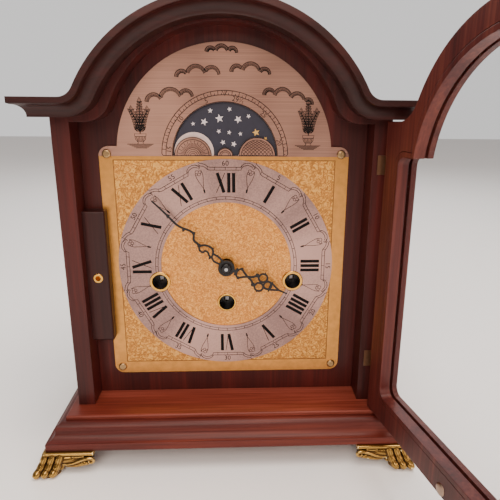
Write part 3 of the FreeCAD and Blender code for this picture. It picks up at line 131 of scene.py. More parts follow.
ALONG_X, ALONG_Y, ALONG_Z = 0, 1, 2
CASE_TONES = ("#290a09", "#3d120f", "#511914")
case_upright = lacquered_mahogany("mahogany_lacquer_upright", *CASE_TONES, ALONG_Z)
case_sides = lacquered_mahogany("mahogany_lacquer_returns", *CASE_TONES, ALONG_Y)


def finish(material, *names):
    """Gives CAD nodes their finish."""
    for name in names:
        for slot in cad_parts[name].material_slots:
            slot.material = material


finish(case_upright, "side_board_left", "side_board_right", "mask_board", "back_frame",
       "head_board")
dark_level = lacquered_mahogany("mahogany_lacquer_hood", "#1d0807", "#2a0d0b", "#3a1310", ALONG_X)
dark_upright = lacquered_mahogany("mahogany_lacquer_catch", "#1c0807", "#290c0b", "#371310",
                                  ALONG_Z)
finish(dark_level, "cornice_moulding")
finish(dark_upright, "catch_block")
finish(case_sides, "roof_board")

# ---------------------------------------------------------------------------
# Plinth: mitred mahogany moulding with a flat foot band, a hollow, a round and a
# flat step, and the floor board whose edge shows above it. Both are stained
# redder than the case; the floor board's tones are lighter still, painted light
# for its top face, which takes the light from above.
# ---------------------------------------------------------------------------
plinth_wood = lacquered_mahogany("mahogany_lacquer_plinth", "#330e0a", "#4b1812", "#67291d",
                                 ALONG_X, 0.26)
# painted light: the floor board's tones are lighter than the plinth's, for the light on its top
# face
floor_wood_painted_lit = lacquered_mahogany("mahogany_lacquer_floor_painted_light", "#49170f", "#65281c", "#874033",
                                ALONG_X, 0.24)
finish(plinth_wood, "plinth_moulding")
finish(floor_wood_painted_lit, "floor_board")

# ---------------------------------------------------------------------------
# Dial plate: brass, gilt, with a plain polished margin. Its centre and its four
# corners are matted and cut all over with fine leafwork.
# ---------------------------------------------------------------------------
low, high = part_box("dial_plate")
DIAL_FACE = low[1] / MM                      # front of the gilt plate, mm
low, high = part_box("chapter_ring")
DIAL_Z = (low[2] + high[2]) / 2 / MM
RING_FACE = low[1] / MM
RING_R = (high[0] - low[0]) / 2 / MM
RING_BORE = 52.3
PANEL_HALF = 84.6                            # matted square inside the plain margin
MATTING = 3.3                                # mm, size of one swirl of the leafwork
HANDLED = 5.0                                # mm, patches where handling dulled the metal


def metal(name, code, roughness, metallic=1.0):
    """Handled surface: its tone and its gloss drift over patches of a few millimetres."""
    material, tree = new_material(name)
    place = add_node(tree, "ShaderNodeTexCoord")
    drift = add_node(tree, "ShaderNodeTexNoise",
                     {"Scale": 1 / (HANDLED * MM), "Detail": 4.0, "Roughness": 0.6},
                     {"Vector": place.outputs["Object"]})
    tone = add_node(tree, "ShaderNodeMapRange",
                    {"From Min": 0.3, "From Max": 0.7, "To Min": 0.84, "To Max": 1.06},
                    {"Value": drift.outputs["Fac"]})
    colour = add_node(tree, "ShaderNodeVectorMath", {"operation": "SCALE", 0: srgb(code)[:3]},
                      {"Scale": tone.outputs["Result"]})
    gloss = add_node(tree, "ShaderNodeMapRange",
                     {"From Min": 0.3, "From Max": 0.7, "To Min": roughness + 0.08,
                      "To Max": roughness - 0.03}, {"Value": drift.outputs["Fac"]})
    close_material(tree, add_node(tree, "ShaderNodeBsdfPrincipled", {"Metallic": metallic},
                                  {"Base Color": colour.outputs["Vector"],
                                   "Roughness": gloss.outputs["Result"]}))
    return material


def matted_gilt(name, ground, dark, light, lines):
    """Leafwork cut with the graver: level lines of a swirling field, lighter on their banks.

    A line's pitch is about 1 mm here and finer on the real plate, where it would not show.
    """
    material, tree = new_material(name)
    place = add_node(tree, "ShaderNodeTexCoord")
    size = add_node(tree, "ShaderNodeMapping", {"Scale": [1 / (MATTING * MM)] * 3},
                    {"Vector": place.outputs["Object"]})
    field = add_node(tree, "ShaderNodeTexNoise",
                     {"Scale": 1.0, "Detail": 1.0, "Roughness": 0.4, "Distortion": 0.9},
                     {"Vector": size.outputs[0]})
    level = add_node(tree, "ShaderNodeMath", {"operation": "MULTIPLY", 1: lines},
                     {0: field.outputs["Fac"]})
    wave = add_node(tree, "ShaderNodeMath", {"operation": "SINE"}, {0: level.outputs[0]})
    cut = add_node(tree, "ShaderNodeMapRange", {"From Min": -1.0, "From Max": 1.0},
                   {"Value": wave.outputs[0]})
    colour = ramp(tree, cut.outputs["Result"], [(0.0, dark), (0.3, ground), (0.72, ground),
                                                (1.0, light)])
    patches = add_node(tree, "ShaderNodeTexNoise", {"Scale": 60.0, "Detail": 2.0},
                       {"Vector": place.outputs["Object"]})
    worn = add_node(tree, "ShaderNodeMapRange",
                    {"From Min": 0.3, "From Max": 0.7, "To Min": 0.0, "To Max": 0.22},
                    {"Value": patches.outputs["Fac"]})
    toned = add_node(tree, "ShaderNodeMixRGB", {"blend_type": "MIX", "Color2": srgb(ground)},
                     {"Fac": worn.outputs["Result"], "Color1": colour.outputs["Color"]})
    relief = add_node(tree, "ShaderNodeBump", {"Strength": 0.5, "Distance": 0.2 * MM},
                      {"Height": cut.outputs["Result"]})
    shader = add_node(tree, "ShaderNodeBsdfPrincipled", {"Roughness": 0.4, "Metallic": 0.7},
                      {"Base Color": toned.outputs["Color"], "Normal": relief.outputs[0]})
    close_material(tree, shader)
    return material


plain_gilt = metal("gilt_brass_plain", "#cc9049", 0.32, 0.85)
centre_gilt = matted_gilt("gilt_brass_matted_centre", "#d48d42", "#b47434", "#e8ae5e", 24.0)
corner_gilt = matted_gilt("gilt_brass_matted_corners", "#c98a40", "#9c662d", "#e2ad5a", 20.0)
finish(plain_gilt, "dial_plate")


def place_mesh(mesh, name, material, body):
    """A finished piece: its mesh is already in place, in metres."""
    piece = bpy.data.objects.new(name, mesh)
    bpy.context.scene.collection.objects.link(piece)
    mesh.materials.append(material)
    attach(piece, body)
    return piece


def flat_plate(name, bm, y, thickness, material, body):
    """Faces drawn in the plane y = 0, in mm, become a thin plate whose front is at y."""
    bmesh.ops.recalc_face_normals(bm, faces=bm.faces)
    for face in bm.faces:
        if face.normal.y > 0:
            face.normal_flip()
    grown = bmesh.ops.extrude_face_region(bm, geom=bm.faces[:])
    verts = [v for v in grown["geom"] if isinstance(v, bmesh.types.BMVert)]
    bmesh.ops.translate(bm, verts=verts, vec=(0, -thickness, 0))
    bmesh.ops.recalc_face_normals(bm, faces=bm.faces)
    bmesh.ops.translate(bm, verts=bm.verts, vec=(0, y + thickness, 0))
    bmesh.ops.scale(bm, verts=bm.verts, vec=(MM, MM, MM))
    mesh = bpy.data.meshes.new(name)
    bm.to_mesh(mesh)
    bm.free()
    return place_mesh(mesh, name, material, body)


def facing_front():
    """Circles are made in the XY plane; this stands them up to face the viewer."""
    return Matrix.Rotation(math.radians(90), 4, "X")


def ring_faces(bm, radius, bore, z, segments=96):
    """Flat ring about (0, z), or a disc if bore is 0."""
    stand = Matrix.Translation((0, 0, z)) @ facing_front()
    outer = bmesh.ops.create_circle(bm, cap_ends=not bore, segments=segments, radius=radius,
                                    matrix=stand)
    if bore:
        inner = bmesh.ops.create_circle(bm, segments=segments, radius=bore, matrix=stand)
        rims = {e for v in outer["verts"] + inner["verts"] for e in v.link_edges}
        bmesh.ops.bridge_loops(bm, edges=list(rims))


WINDING = ((-53.8, -13.0), (0.0, -31.6), (53.8, -13.0))      # from the dial's centre
RIM_SEAT = 7.2                               # the matting stops under the rims of the bushes


def bored(piece, holes):
    """Cuts round holes, as (x, z, radius) in mm, straight through a plate that faces -Y."""
    drill = bmesh.new()
    for x, z, radius in holes:
        bmesh.ops.create_cone(drill, cap_ends=True, segments=48, radius1=radius, radius2=radius,
                              depth=40, matrix=Matrix.Translation((x, DIAL_FACE, z))
                              @ facing_front())
    bmesh.ops.scale(drill, verts=drill.verts, vec=(MM, MM, MM))
    bit_mesh = bpy.data.meshes.new("drill")
    drill.to_mesh(bit_mesh)
    drill.free()
    bit = bpy.data.objects.new("drill", bit_mesh)
    bpy.context.scene.collection.objects.link(bit)
    cut = piece.modifiers.new("bore", "BOOLEAN")
    cut.operation, cut.solver, cut.object = "DIFFERENCE", "EXACT", bit
    mesh = bpy.data.meshes.new_from_object(piece.evaluated_get(
        bpy.context.evaluated_depsgraph_get()))
    piece.modifiers.clear()
    piece.data = mesh
    bpy.data.objects.remove(bit)
    return piece


centre_mat = bmesh.new()
ring_faces(centre_mat, RING_BORE - 0.3, 6.2, DIAL_Z)
bored(flat_plate("matted_centre", centre_mat, DIAL_FACE - 0.12, 0.12, centre_gilt, "case"), [(x, DIAL_Z + z, RIM_SEAT) for x, z in WINDING])

corner_mat = bmesh.new()
bmesh.ops.create_grid(corner_mat, x_segments=48, y_segments=48, size=PANEL_HALF,
                      matrix=Matrix.Translation((0, 0, DIAL_Z)) @ facing_front())
hidden = [f for f in corner_mat.faces
          if max(math.hypot(v.co.x, v.co.z - DIAL_Z) for v in f.verts) < RING_R - 1.5]
bmesh.ops.delete(corner_mat, geom=hidden, context="FACES")
flat_plate("matted_corners", corner_mat, DIAL_FACE - 0.1, 0.1, corner_gilt, "case")

# a scored line frames the matted square
RULE_EDGES = (PANEL_HALF + 0.3, PANEL_HALF - 0.3)
rule = bmesh.new()
rims = set()
for half in RULE_EDGES:
    stand = Matrix.Translation((0, 0, DIAL_Z)) @ facing_front()
    square = bmesh.ops.create_circle(rule, segments=4, radius=half * math.sqrt(2),
                                     matrix=stand @ Matrix.Rotation(math.radians(45), 4, "Z"))
    rims |= {e for v in square["verts"] for e in v.link_edges}
bmesh.ops.bridge_loops(rule, edges=list(rims))
scored_gilt = metal("gilt_brass_scored", "#7a5026", 0.5, 0.6)
flat_plate("panel_rule", rule, DIAL_FACE - 0.16, 0.1, scored_gilt, "case")

# ---------------------------------------------------------------------------
# Chapter ring: brass, silvered and brushed. Its numerals, minute figures and
# strapwork are cut with the graver and filled with black wax.
# ---------------------------------------------------------------------------
def silvered_brass(name, code, grey, stretch, roughness=0.34):
    """Silvering over brass, brushed: fine scratches, and soft lighter and darker sectors, a painted
    sheen of the brushing.
    """
    material, tree = new_material(name)
    place = add_node(tree, "ShaderNodeTexCoord")
    centred = add_node(tree, "ShaderNodeMapping", {"Location": [0, 0, -DIAL_Z * MM]},
                       {"Vector": place.outputs["Object"]})
    flat = add_node(tree, "ShaderNodeVectorMath", {"operation": "MULTIPLY", 1: [1, 0, 1]},
                    {0: centred.outputs[0]})
    spoke = add_node(tree, "ShaderNodeVectorMath", {"operation": "NORMALIZE"},
                     {0: flat.outputs[0]})
    # painted sheen: lighter and darker sectors by direction from the dial's centre, for the
    # brushing's highlights
    painted_sheen_sectors = add_node(tree, "ShaderNodeTexNoise", {"Scale": 1.7, "Detail": 1.5},
                       {"Vector": spoke.outputs[0]})
    hairs = add_node(tree, "ShaderNodeMapping", {"Scale": stretch},
                     {"Vector": centred.outputs[0]})
    scratches = add_node(tree, "ShaderNodeTexNoise", {"Scale": 1.0, "Detail": 3.0},
                         {"Vector": hairs.outputs[0]})
    both = add_node(tree, "ShaderNodeMath", {"operation": "MULTIPLY_ADD", 1: 0.7},
                    {0: painted_sheen_sectors.outputs["Fac"]})
    shade = add_node(tree, "ShaderNodeMath", {"operation": "MULTIPLY", 1: 0.3},
                     {0: scratches.outputs["Fac"]})
    tree.links.new(shade.outputs[0], both.inputs[2])
    colour = ramp(tree, both.outputs[0], [(0.38, grey), (0.6, code)])
    rough = add_node(tree, "ShaderNodeMapRange",
                     {"From Min": 0.3, "From Max": 0.7, "To Min": roughness - 0.06,
                      "To Max": roughness + 0.08}, {"Value": scratches.outputs["Fac"]})
    shader = add_node(tree, "ShaderNodeBsdfPrincipled", {"Metallic": 0.8},
                      {"Base Color": colour.outputs["Color"], "Roughness": rough.outputs["Result"]})
    close_material(tree, shader)
    return material


black_wax, wax_tree = new_material("black_wax_filling")
close_material(wax_tree, add_node(wax_tree, "ShaderNodeBsdfPrincipled",
                                  {"Base Color": srgb("#0d0a0b"), "Roughness": 0.7,
                                   "Specular IOR Level": 0.15}))
ring_silver = silvered_brass("silvered_brass_ring", "#b79389", "#8a6e69", [900, 900, 900])
arch_silver = silvered_brass("silvered_brass_arch", "#a88070", "#7a5a4e", [14, 900, 2600], 0.46)
finish(ring_silver, "chapter_ring")
finish(arch_silver, "dial_arch_plate")


def engrave(name, strokes, width, face):
    """Lines of (x, z) points in mm, cut and filled: flat ribbons on the plane y = face."""
    curve = bpy.data.curves.new(name, "CURVE")
    curve.dimensions = "3D"
    curve.bevel_depth = width / 2
    curve.bevel_resolution = 0
    curve.use_fill_caps = True
    for points in strokes:
        line = curve.splines.new("POLY")
        line.points.add(len(points) - 1)
        for point, (x, z) in zip(line.points, points):
            point.co = (x, 0, z, 1)
    drawn = bpy.data.objects.new(name + "_line", curve)
    bpy.context.scene.collection.objects.link(drawn)
    mesh = bpy.data.meshes.new_from_object(drawn.evaluated_get(
        bpy.context.evaluated_depsgraph_get()))
    bpy.data.objects.remove(drawn)
    flat = Matrix.Diagonal((MM, MM * 0.14 / width, MM, 1))
    mesh.transform(Matrix.Translation((0, face * MM, 0)) @ flat)
    mesh.name = name
    mesh.materials.clear()
    return place_mesh(mesh, name, black_wax, "case")


def on_dial(points, clock_angle, centre=None):
    """Points drawn upright at twelve, turned clockwise about the dial's centre."""
    a = math.radians(clock_angle)
    zc = DIAL_Z if centre is None else centre
    return [(x * math.cos(a) + z * math.sin(a), zc - x * math.sin(a) + z * math.cos(a))
            for x, z in points]


def arc(x, z, radius, start, end, steps=12):
    """Points on a circle; angles in degrees from +X towards +Z."""
    turns = [math.radians(start + (end - start) * i / steps) for i in range(steps + 1)]
    return [(x + radius * math.cos(t), z + radius * math.sin(t)) for t in turns]


NUMERAL_LOW, NUMERAL_HIGH = 60.0, 75.2       # mm from the centre
THICK, THIN = 2.5, 0.5
GAP = 1.25
NUMERALS = ("XII", "I", "II", "III", "IIII", "V", "VI", "VII", "VIII", "IX", "X", "XI")
LETTER_WIDTH = {"I": THICK, "V": 7.2, "X": 7.6}

thick_strokes, thin_strokes = [], []
for hour, numeral in enumerate(NUMERALS):
    span = sum(LETTER_WIDTH[c] for c in numeral) + GAP * (len(numeral) - 1)
    x = -span / 2
    for letter in numeral:
        wide = LETTER_WIDTH[letter]
        left, right, middle = x + THICK / 2, x + wide - THIN, x + wide / 2
        if letter == "I":
            heavy, fine = [(middle, NUMERAL_HIGH), (middle, NUMERAL_LOW)], None
        elif letter == "V":
            heavy = [(left, NUMERAL_HIGH), (middle + 0.6, NUMERAL_LOW)]
            fine = [(right, NUMERAL_HIGH), (middle + 1.0, NUMERAL_LOW)]
        else:
            heavy = [(left, NUMERAL_HIGH), (x + wide - THICK / 2, NUMERAL_LOW)]
            fine = [(right, NUMERAL_HIGH), (x + THIN, NUMERAL_LOW)]
        thick_strokes.append(on_dial(heavy, hour * 30))
        if fine:
            thin_strokes.append(on_dial(fine, hour * 30))
        x += wide + GAP
engrave("numerals_heavy", thick_strokes, THICK, RING_FACE)
engrave("numerals_fine", thin_strokes, THIN, RING_FACE)

# strapwork: a straight double line at each hour, scrolled up to a hook between the hours
STRAP_IN, STRAP_OUT = 77.3, 79.5             # mm from the centre
LINE = 0.46
right_arch_out = [(11.9, 79.5), (13.0, 81.2), (15.2, 82.5), (18.2, 82.7), (20.8, 81.6),
                  (22.4, 79.9)]
right_arch_in = [(11.9, 77.3), (12.5, 78.9), (14.2, 80.4), (17.3, 81.0), (19.8, 80.2),
                 (21.0, 78.8)]
left_ogee_out = [(-11.9, 79.5), (-13.4, 79.9), (-15.2, 81.3), (-17.3, 82.1), (-19.4, 82.4),
                 (-20.9, 83.5)]
left_ogee_in = [(-11.9, 77.3), (-13.8, 77.8), (-15.3, 79.3), (-17.3, 80.2), (-19.6, 80.6),
                (-20.9, 80.0)]
strap_lines, minute_ticks, drops = [], [], []
for hour in range(12):
    at = hour * 30
    strap_lines.append(on_dial(left_ogee_out[::-1] + right_arch_out, at))
    strap_lines.append(on_dial(left_ogee_in[::-1] + right_arch_in, at))
    for minute in (-1, 0, 1):
        x = STRAP_IN * math.tan(math.radians(6 * minute))
        minute_ticks.append(on_dial([(x, STRAP_IN), (x * 1.03, STRAP_OUT)], at))
    for x, z0, z1 in ((12.6, 79.2, 80.9), (-13.6, 77.9, 80.0)):
        minute_ticks.append(on_dial([(x, z0), (x * 1.02, z1)], at))
    # hook, palmette and drop that hang between two hours
    mid = at + 15
    drops += [on_dial(p, mid) for p in (
        [(-0.9, 83.6), (0.5, 83.0), (1.2, 81.6), (0.6, 80.4)],
        [(1.4, 84.2), (1.9, 82.6), (1.2, 81.0)],
        arc(-1.5, 78.6, 1.3, 0, 330, 10), arc(0.7, 78.2, 1.1, 180, -140, 10),
        arc(-0.4, 76.6, 1.1, 90, 400, 10), arc(-2.4, 76.9, 0.8, 60, 330, 8),
        [(-3.2, 77.4), (-3.0, 74.4), (-1.9, 70.6), (-0.7, 67.2), (0.0, 65.0)],
        [(1.9, 79.6), (2.4, 76.6), (1.9, 72.8), (0.8, 68.6), (0.0, 65.0)],
        [(0.0, 65.0), (-0.55, 64.0), (-0.35, 62.4), (0.0, 61.4), (0.4, 62.4), (0.55, 64.0),
         (0.0, 65.0)])]
engrave("strapwork", strap_lines, LINE, RING_FACE)
engrave("minute_ticks", minute_ticks, 0.36, RING_FACE)
engrave("strapwork_drops", drops, 0.38, RING_FACE)
tips = [on_dial([(0, 64.6), (0, 61.8)], hour * 30 + 15) for hour in range(12)]
engrave("drop_tips", tips, 1.0, RING_FACE)

# quarter-hour track at the inner edge
TRACK = (54.8, 56.8)
QUARTERS = 48
track = [arc(0, DIAL_Z, r, 0, 360, 120) for r in TRACK]
track += [on_dial([(0, TRACK[0]), (0, TRACK[1])], 360 * i / QUARTERS) for i in range(QUARTERS)]
engrave("quarter_track", track, 0.4, RING_FACE)


def figures(name, labels, height, face):
    """Figures cut upright at (x, z), turned clockwise by an angle: (text, x, z, angle)."""
    joined = bmesh.new()
    for text, x, z, angle in labels:
        face_curve = bpy.data.curves.new(name, "FONT")
        face_curve.body = text
        face_curve.size = height / 0.7
        face_curve.align_x, face_curve.align_y = "CENTER", "CENTER"
        face_curve.extrude = 0.03
        face_curve.resolution_u = 3
        drawn = bpy.data.objects.new(name + "_figure", face_curve)
        bpy.context.scene.collection.objects.link(drawn)
        mesh = bpy.data.meshes.new_from_object(drawn.evaluated_get(
            bpy.context.evaluated_depsgraph_get()))
        bpy.data.objects.remove(drawn)
        mesh.transform(Matrix.Translation((x, 0, z)) @ Matrix.Rotation(math.radians(angle), 4, "Y")
                       @ facing_front())
        joined.from_mesh(mesh)
        bpy.data.meshes.remove(mesh)
    bmesh.ops.translate(joined, verts=joined.verts, vec=(0, face - 0.03, 0))
    bmesh.ops.scale(joined, verts=joined.verts, vec=(MM, MM, MM))
    whole = bpy.data.meshes.new(name)
    joined.to_mesh(whole)
    joined.free()
    return place_mesh(whole, name, black_wax, "case")


MINUTE_FIGURE_R = 82.4
minute_labels = []
for hour in range(12):
    minute = 60 if hour == 0 else 5 * hour
    x, z = on_dial([(0, MINUTE_FIGURE_R)], hour * 30)[0]
    flipped = 180 if 20 <= minute <= 40 else 0
    minute_labels.append((str(minute), x, z, hour * 30 + flipped))
figures("minute_figures", minute_labels, 3.9, RING_FACE)

# ---------------------------------------------------------------------------
# Arch plate: silvered brass, brushed from side to side. Its scale of the moon's
# age, its hemispheres, clouds and potted trees are engraved and filled.
# ---------------------------------------------------------------------------
low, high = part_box("dial_arch_plate")
ARCH_FACE = low[1] / MM
MOON_Z = DIAL_Z + 88.0
DAY = 6.5                                    # degrees of the scale for one day
FIRST_DAY = 13.9
BAND_R, TICK_R, WINDOW_R, LABEL_R = 47.7, 44.6, 39.5, 42.1
HUMP_X, HUMP_R, MID_R = 24.3, 14.0, 6.0

scale = [arc(0, MOON_Z, BAND_R, 2, 92.5, 30), arc(0, MOON_Z, BAND_R, 178, 87.5, 30),
         [(2.0, MOON_Z + BAND_R), (0.2, MOON_Z + BAND_R - 3.6), (-2.0, MOON_Z + BAND_R)],
         arc(0, MOON_Z, TICK_R, 0, 180, 60), arc(0, MOON_Z, WINDOW_R + 0.3, 0, 180, 60),
         [(-BAND_R, MOON_Z + 1.7), (-BAND_R + 1.0, MOON_Z + 0.2), (-WINDOW_R - 1, MOON_Z + 0.2)],
         [(BAND_R, MOON_Z + 1.7), (BAND_R - 1.0, MOON_Z + 0.2), (WINDOW_R + 1, MOON_Z + 0.2)]]
ticks = []
day = -84.0
while day < 88:
    ticks.append(on_dial([(0, TICK_R), (0, BAND_R)], day, MOON_Z))
    ticks.append(on_dial([(0, TICK_R), (0, TICK_R + 1.4)], day + DAY / 2, MOON_Z))
    day += DAY
engrave("moon_scale", scale, 0.5, ARCH_FACE)
engrave("moon_scale_ticks", ticks, 0.4, ARCH_FACE)
age_labels = []
for text, days in (("5", 5), ("10", 10), ("15", 15), ("29½", 0), ("25", -4.5), ("20", -9.5)):
    angle = FIRST_DAY - DAY * days
    x, z = on_dial([(0, LABEL_R)], angle, MOON_Z)[0]
    age_labels.append((text, x, z, angle))
figures("moon_age_figures", age_labels, 3.5, ARCH_FACE)

# hemispheres: a rayed one on the left, a netted one on the right, a small one between
globes = []
for x, r in ((-HUMP_X, HUMP_R), (HUMP_X, HUMP_R), (0, MID_R)):
    globes += [arc(x, MOON_Z, r - 0.2, 0, 180, 30), arc(x, MOON_Z, r - 1.9, 0, 180, 30),
               [(x - r, MOON_Z + 0.3), (x + r, MOON_Z + 0.3)]]
engrave("globe_rims", globes, 0.46, ARCH_FACE)
rays = []
for i in range(25):
    a = math.radians(7.2 * i + 3.6)
    near, far = (6.2, 11.4) if i % 2 else (6.2, 9.6)
    rays.append([(-HUMP_X + near * math.cos(a), MOON_Z + near * math.sin(a)),
                 (-HUMP_X + far * math.cos(a), MOON_Z + far * math.sin(a))])
for r in (2.0, 3.4, 4.8, 6.0):
    rays.append(arc(-HUMP_X, MOON_Z, r, 0, 180, 16))
NET = 2.9
for i in range(-6, 7):
    for lean in (-1, 1):
        line = []
        for k in range(25):
            z = k * 0.5
            x = i * NET + lean * (z * 0.75 + 0.05 * z * z)
            if math.hypot(x, z) < HUMP_R - 2.1:
                line.append((HUMP_X + x, MOON_Z + z))
        if len(line) > 1:
            rays.append(line)
rays.append(arc(0, MOON_Z, 3.0, 0, 180, 12))
engrave("globe_lines", rays, 0.34, ARCH_FACE)


CLOUD_SCALE, HATCH = 1.22, 2.5               # HATCH: mm, length of the short lines in a lobe


def cloud(x, z, lobes, tilt=0.0):
    """Row of lobes with short hatching under each; a lobe is (radius, start, end)."""
    strokes = []
    for radius, start, end in lobes:
        radius *= CLOUD_SCALE
        x += radius * 0.8
        strokes.append(arc(x, z, radius, start, end, 10))
        steps = max(3, int(radius * abs(end - start) / 52))
        for i in range(steps + 1):
            a = math.radians(start + (end - start) * i / steps)
            c, s = math.cos(a), math.sin(a)
            strokes.append([(x + radius * c, z + radius * s),
                            (x + (radius - HATCH) * c + 0.4, z + (radius - HATCH) * s - 0.3)])
        x += radius * 0.8
        z += tilt
    return strokes


def leaf_line(x, z, length, angle, width=0.24):
    """Outline of a leaf with its midrib, from its stalk."""
    c, n = math.cos(math.radians(angle)), math.sin(math.radians(angle))
    side = [(0, 0), (0.25, width), (0.6, width * 0.9), (1, 0), (0.6, -width * 0.9), (0.25, -width),
            (0, 0)]
    outline = [(x + length * (a * c - b * n), z + length * (a * n + b * c)) for a, b in side]
    return [outline, [(x, z), (x + length * 0.8 * c, z + length * 0.8 * n)]]


def potted_tree(x, z, side):
    """Footed pot with three leafy stems, on hatched ground."""
    pot = [(-2.6, 0), (-1.6, 1.0), (-3.6, 3.6), (-4.4, 7.6), (4.4, 7.6), (3.6, 3.6), (1.6, 1.0),
           (2.6, 0), (-2.6, 0)]
    strokes = [[(x + a, z + b) for a, b in pot], [(x - 4.0, z + 5.6), (x + 4.0, z + 5.6)]]
    for k in range(6):
        strokes.append([(x - 3.0 + 1.2 * k, z + 5.4), (x - 1.8 + 0.75 * k, z + 1.6)])
    for lean, tall in ((-0.30, 17), (0.02, 23), (0.30, 16)):
        stem = [(x + side * (lean * t * 0.6 + lean * t * t / 26), z + 7.6 + t)
                for t in range(0, tall + 1, 2)]
        strokes.append(stem)
        for i, (a, b) in enumerate(stem[1:]):
            size = 5.2 - 0.28 * i
            strokes += leaf_line(a, b, size, 38) + leaf_line(a, b, size, 142)
        strokes += leaf_line(*stem[-1], 4.4, 90)
    for k in range(5):
        strokes.append([(x - 10 + 1.6 * k, z - 0.7 * k), (x + 9.5 - 1.2 * k, z - 0.7 * k)])
    return strokes


sky = cloud(-57, 127, [(5.4, 175, 30), (7.0, 165, 20), (4.6, 150, 5)], 2.0)
sky += cloud(-35, 145, [(4.2, 180, 40), (6.4, 160, 20), (5.2, 150, 5)], 0.8)
sky += cloud(5, 149, [(4.2, 180, 40), (6.2, 160, 20), (4.0, 150, 0)], -0.8)
sky += cloud(29, 133, [(4.0, 180, 40), (6.0, 160, 20), (5.2, 150, 15), (3.4, 140, -10)], -2.0)
sky += cloud(-13, 162, [(3.4, 170, 30), (4.6, 160, 20), (3.4, 150, 0)])
sky = [[(x, z + DIAL_Z) for x, z in line] for line in sky]
engrave("clouds", sky, 0.5, ARCH_FACE)
ground = potted_tree(-63, 96.5, 1) + potted_tree(63, 96, -1)
ground = [[(x, z + DIAL_Z) for x, z in line] for line in ground]
engrave("potted_trees", ground, 0.42, ARCH_FACE)

# ---------------------------------------------------------------------------
# Moon disc: thin brass enamelled night blue, with two silvered moons opposite
# each other and stars between them. It turns behind the arch plate.
# ---------------------------------------------------------------------------
night_blue = metal("enamel_night_blue", "#141329", 0.5, 0.0)
star_white = metal("enamel_white", "#d9cfd2", 0.5, 0.0)
star_gold = metal("enamel_gold", "#d8a953", 0.5, 0.0)
moon_silver = metal("enamel_moon", "#d3bdb8", 0.45, 0.0)
finish(night_blue, "moon_disc")
low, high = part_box("moon_disc")
MOON_FACE = low[1] / MM


def star_faces(bm, x, z, radius, lean):
    """Five-pointed star from a ring of ten points, every other one drawn in."""
    made = bmesh.ops.create_circle(bm, cap_ends=True, segments=10, radius=radius,
                                   matrix=Matrix.Translation((x, 0, z)) @ facing_front()
                                   @ Matrix.Rotation(math.radians(lean), 4, "Z"))
    for v in made["verts"][1::2]:
        v.co = Vector((x, 0, z)).lerp(v.co, 0.42)


# one half of the disc: (x, z, radius, lean) in mm and degrees; the other half is the same turned
STARS = ((-4.0, 27.6, 3.3, 10), (10.0, 27.0, 3.1, 30), (-15.5, 25.0, 2.9, 50),
         (23.5, 17.5, 3.0, 15), (-10.8, 33.2, 2.0, 0), (3.6, 34.4, 1.9, 20), (17.8, 29.4, 1.8, 40),
         (-23.8, 23.6, 1.7, 5), (-4.6, 18.2, 1.9, 30), (3.2, 17.4, 1.8, 60), (11.6, 16.4, 1.7, 10),
         (-1.6, 10.0, 2.2, 25), (6.6, 8.8, 2.3, 50), (30.8, 13.0, 1.6, 35))
GOLD_STARS = (3, 13)
MOON_R = 15.0
for label, chosen, material in (("white", False, star_white), ("gold", True, star_gold)):
    night = bmesh.new()
    for half in (1, -1):
        for i, (x, z, radius, lean) in enumerate(STARS):
            if (i in GOLD_STARS) == chosen:
                star_faces(night, half * x, MOON_Z + half * z, radius, lean)
    flat_plate("stars_" + label, night, MOON_FACE - 0.06, 0.06, material, "moon")
moons = bmesh.new()
for x, z in ((-23.6, 2.5), (24.2, -4.3)):
    bmesh.ops.create_circle(moons, cap_ends=True, segments=64, radius=MOON_R,
                            matrix=Matrix.Translation((x, 0, MOON_Z + z)) @ facing_front())
flat_plate("moons", moons, MOON_FACE - 0.05, 0.05, moon_silver, "moon")

# ---------------------------------------------------------------------------
# Hands, screws and winding holes: hands of steel, pierced and blacked; round
# brass screws at the dial's corners; brass tubes lead to the winding squares,
# with painted shade inside them: a black sleeve in each.
# ---------------------------------------------------------------------------
hand_black = metal("blacked_steel", "#141315", 0.38, 0.35)
nut_black = metal("blacked_steel_turned", "#1b1a1c", 0.25, 0.5)
bright_brass = metal("polished_brass", "#d3a04c", 0.2)


def filed_hand(node, body, fuller):
    """The hand as finished with the file: its pierced bars stand fuller by a hair all round."""
    shape = bmesh.new()
    shape.from_mesh(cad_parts[node].data)
    bmesh.ops.remove_doubles(shape, verts=shape.verts, dist=1e-6)
    shape.normal_update()
    for v in shape.verts:
        v.co += Vector((v.normal.x, 0, v.normal.z)) * fuller * MM
    mesh = bpy.data.meshes.new("filed_" + node)
    shape.to_mesh(mesh)
    shape.free()
    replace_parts(place_mesh(mesh, "filed_" + node, hand_black, body), node)


filed_hand("hour_hand", "hour_pipe", 0.2)
filed_hand("minute_hand", "minute_arbor", 0.16)
finish(nut_black, "hand_nut")
finish(bright_brass, "winding_hole_bushes", "catch_bush")
finish(metal("bronzed_brass", "#a5875f", 0.28), "dial_screws")

low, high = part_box("winding_hole_bushes")
BUSH_BACK = high[1] / MM
HOLE_R, EYE_R = 6.38, 2.6
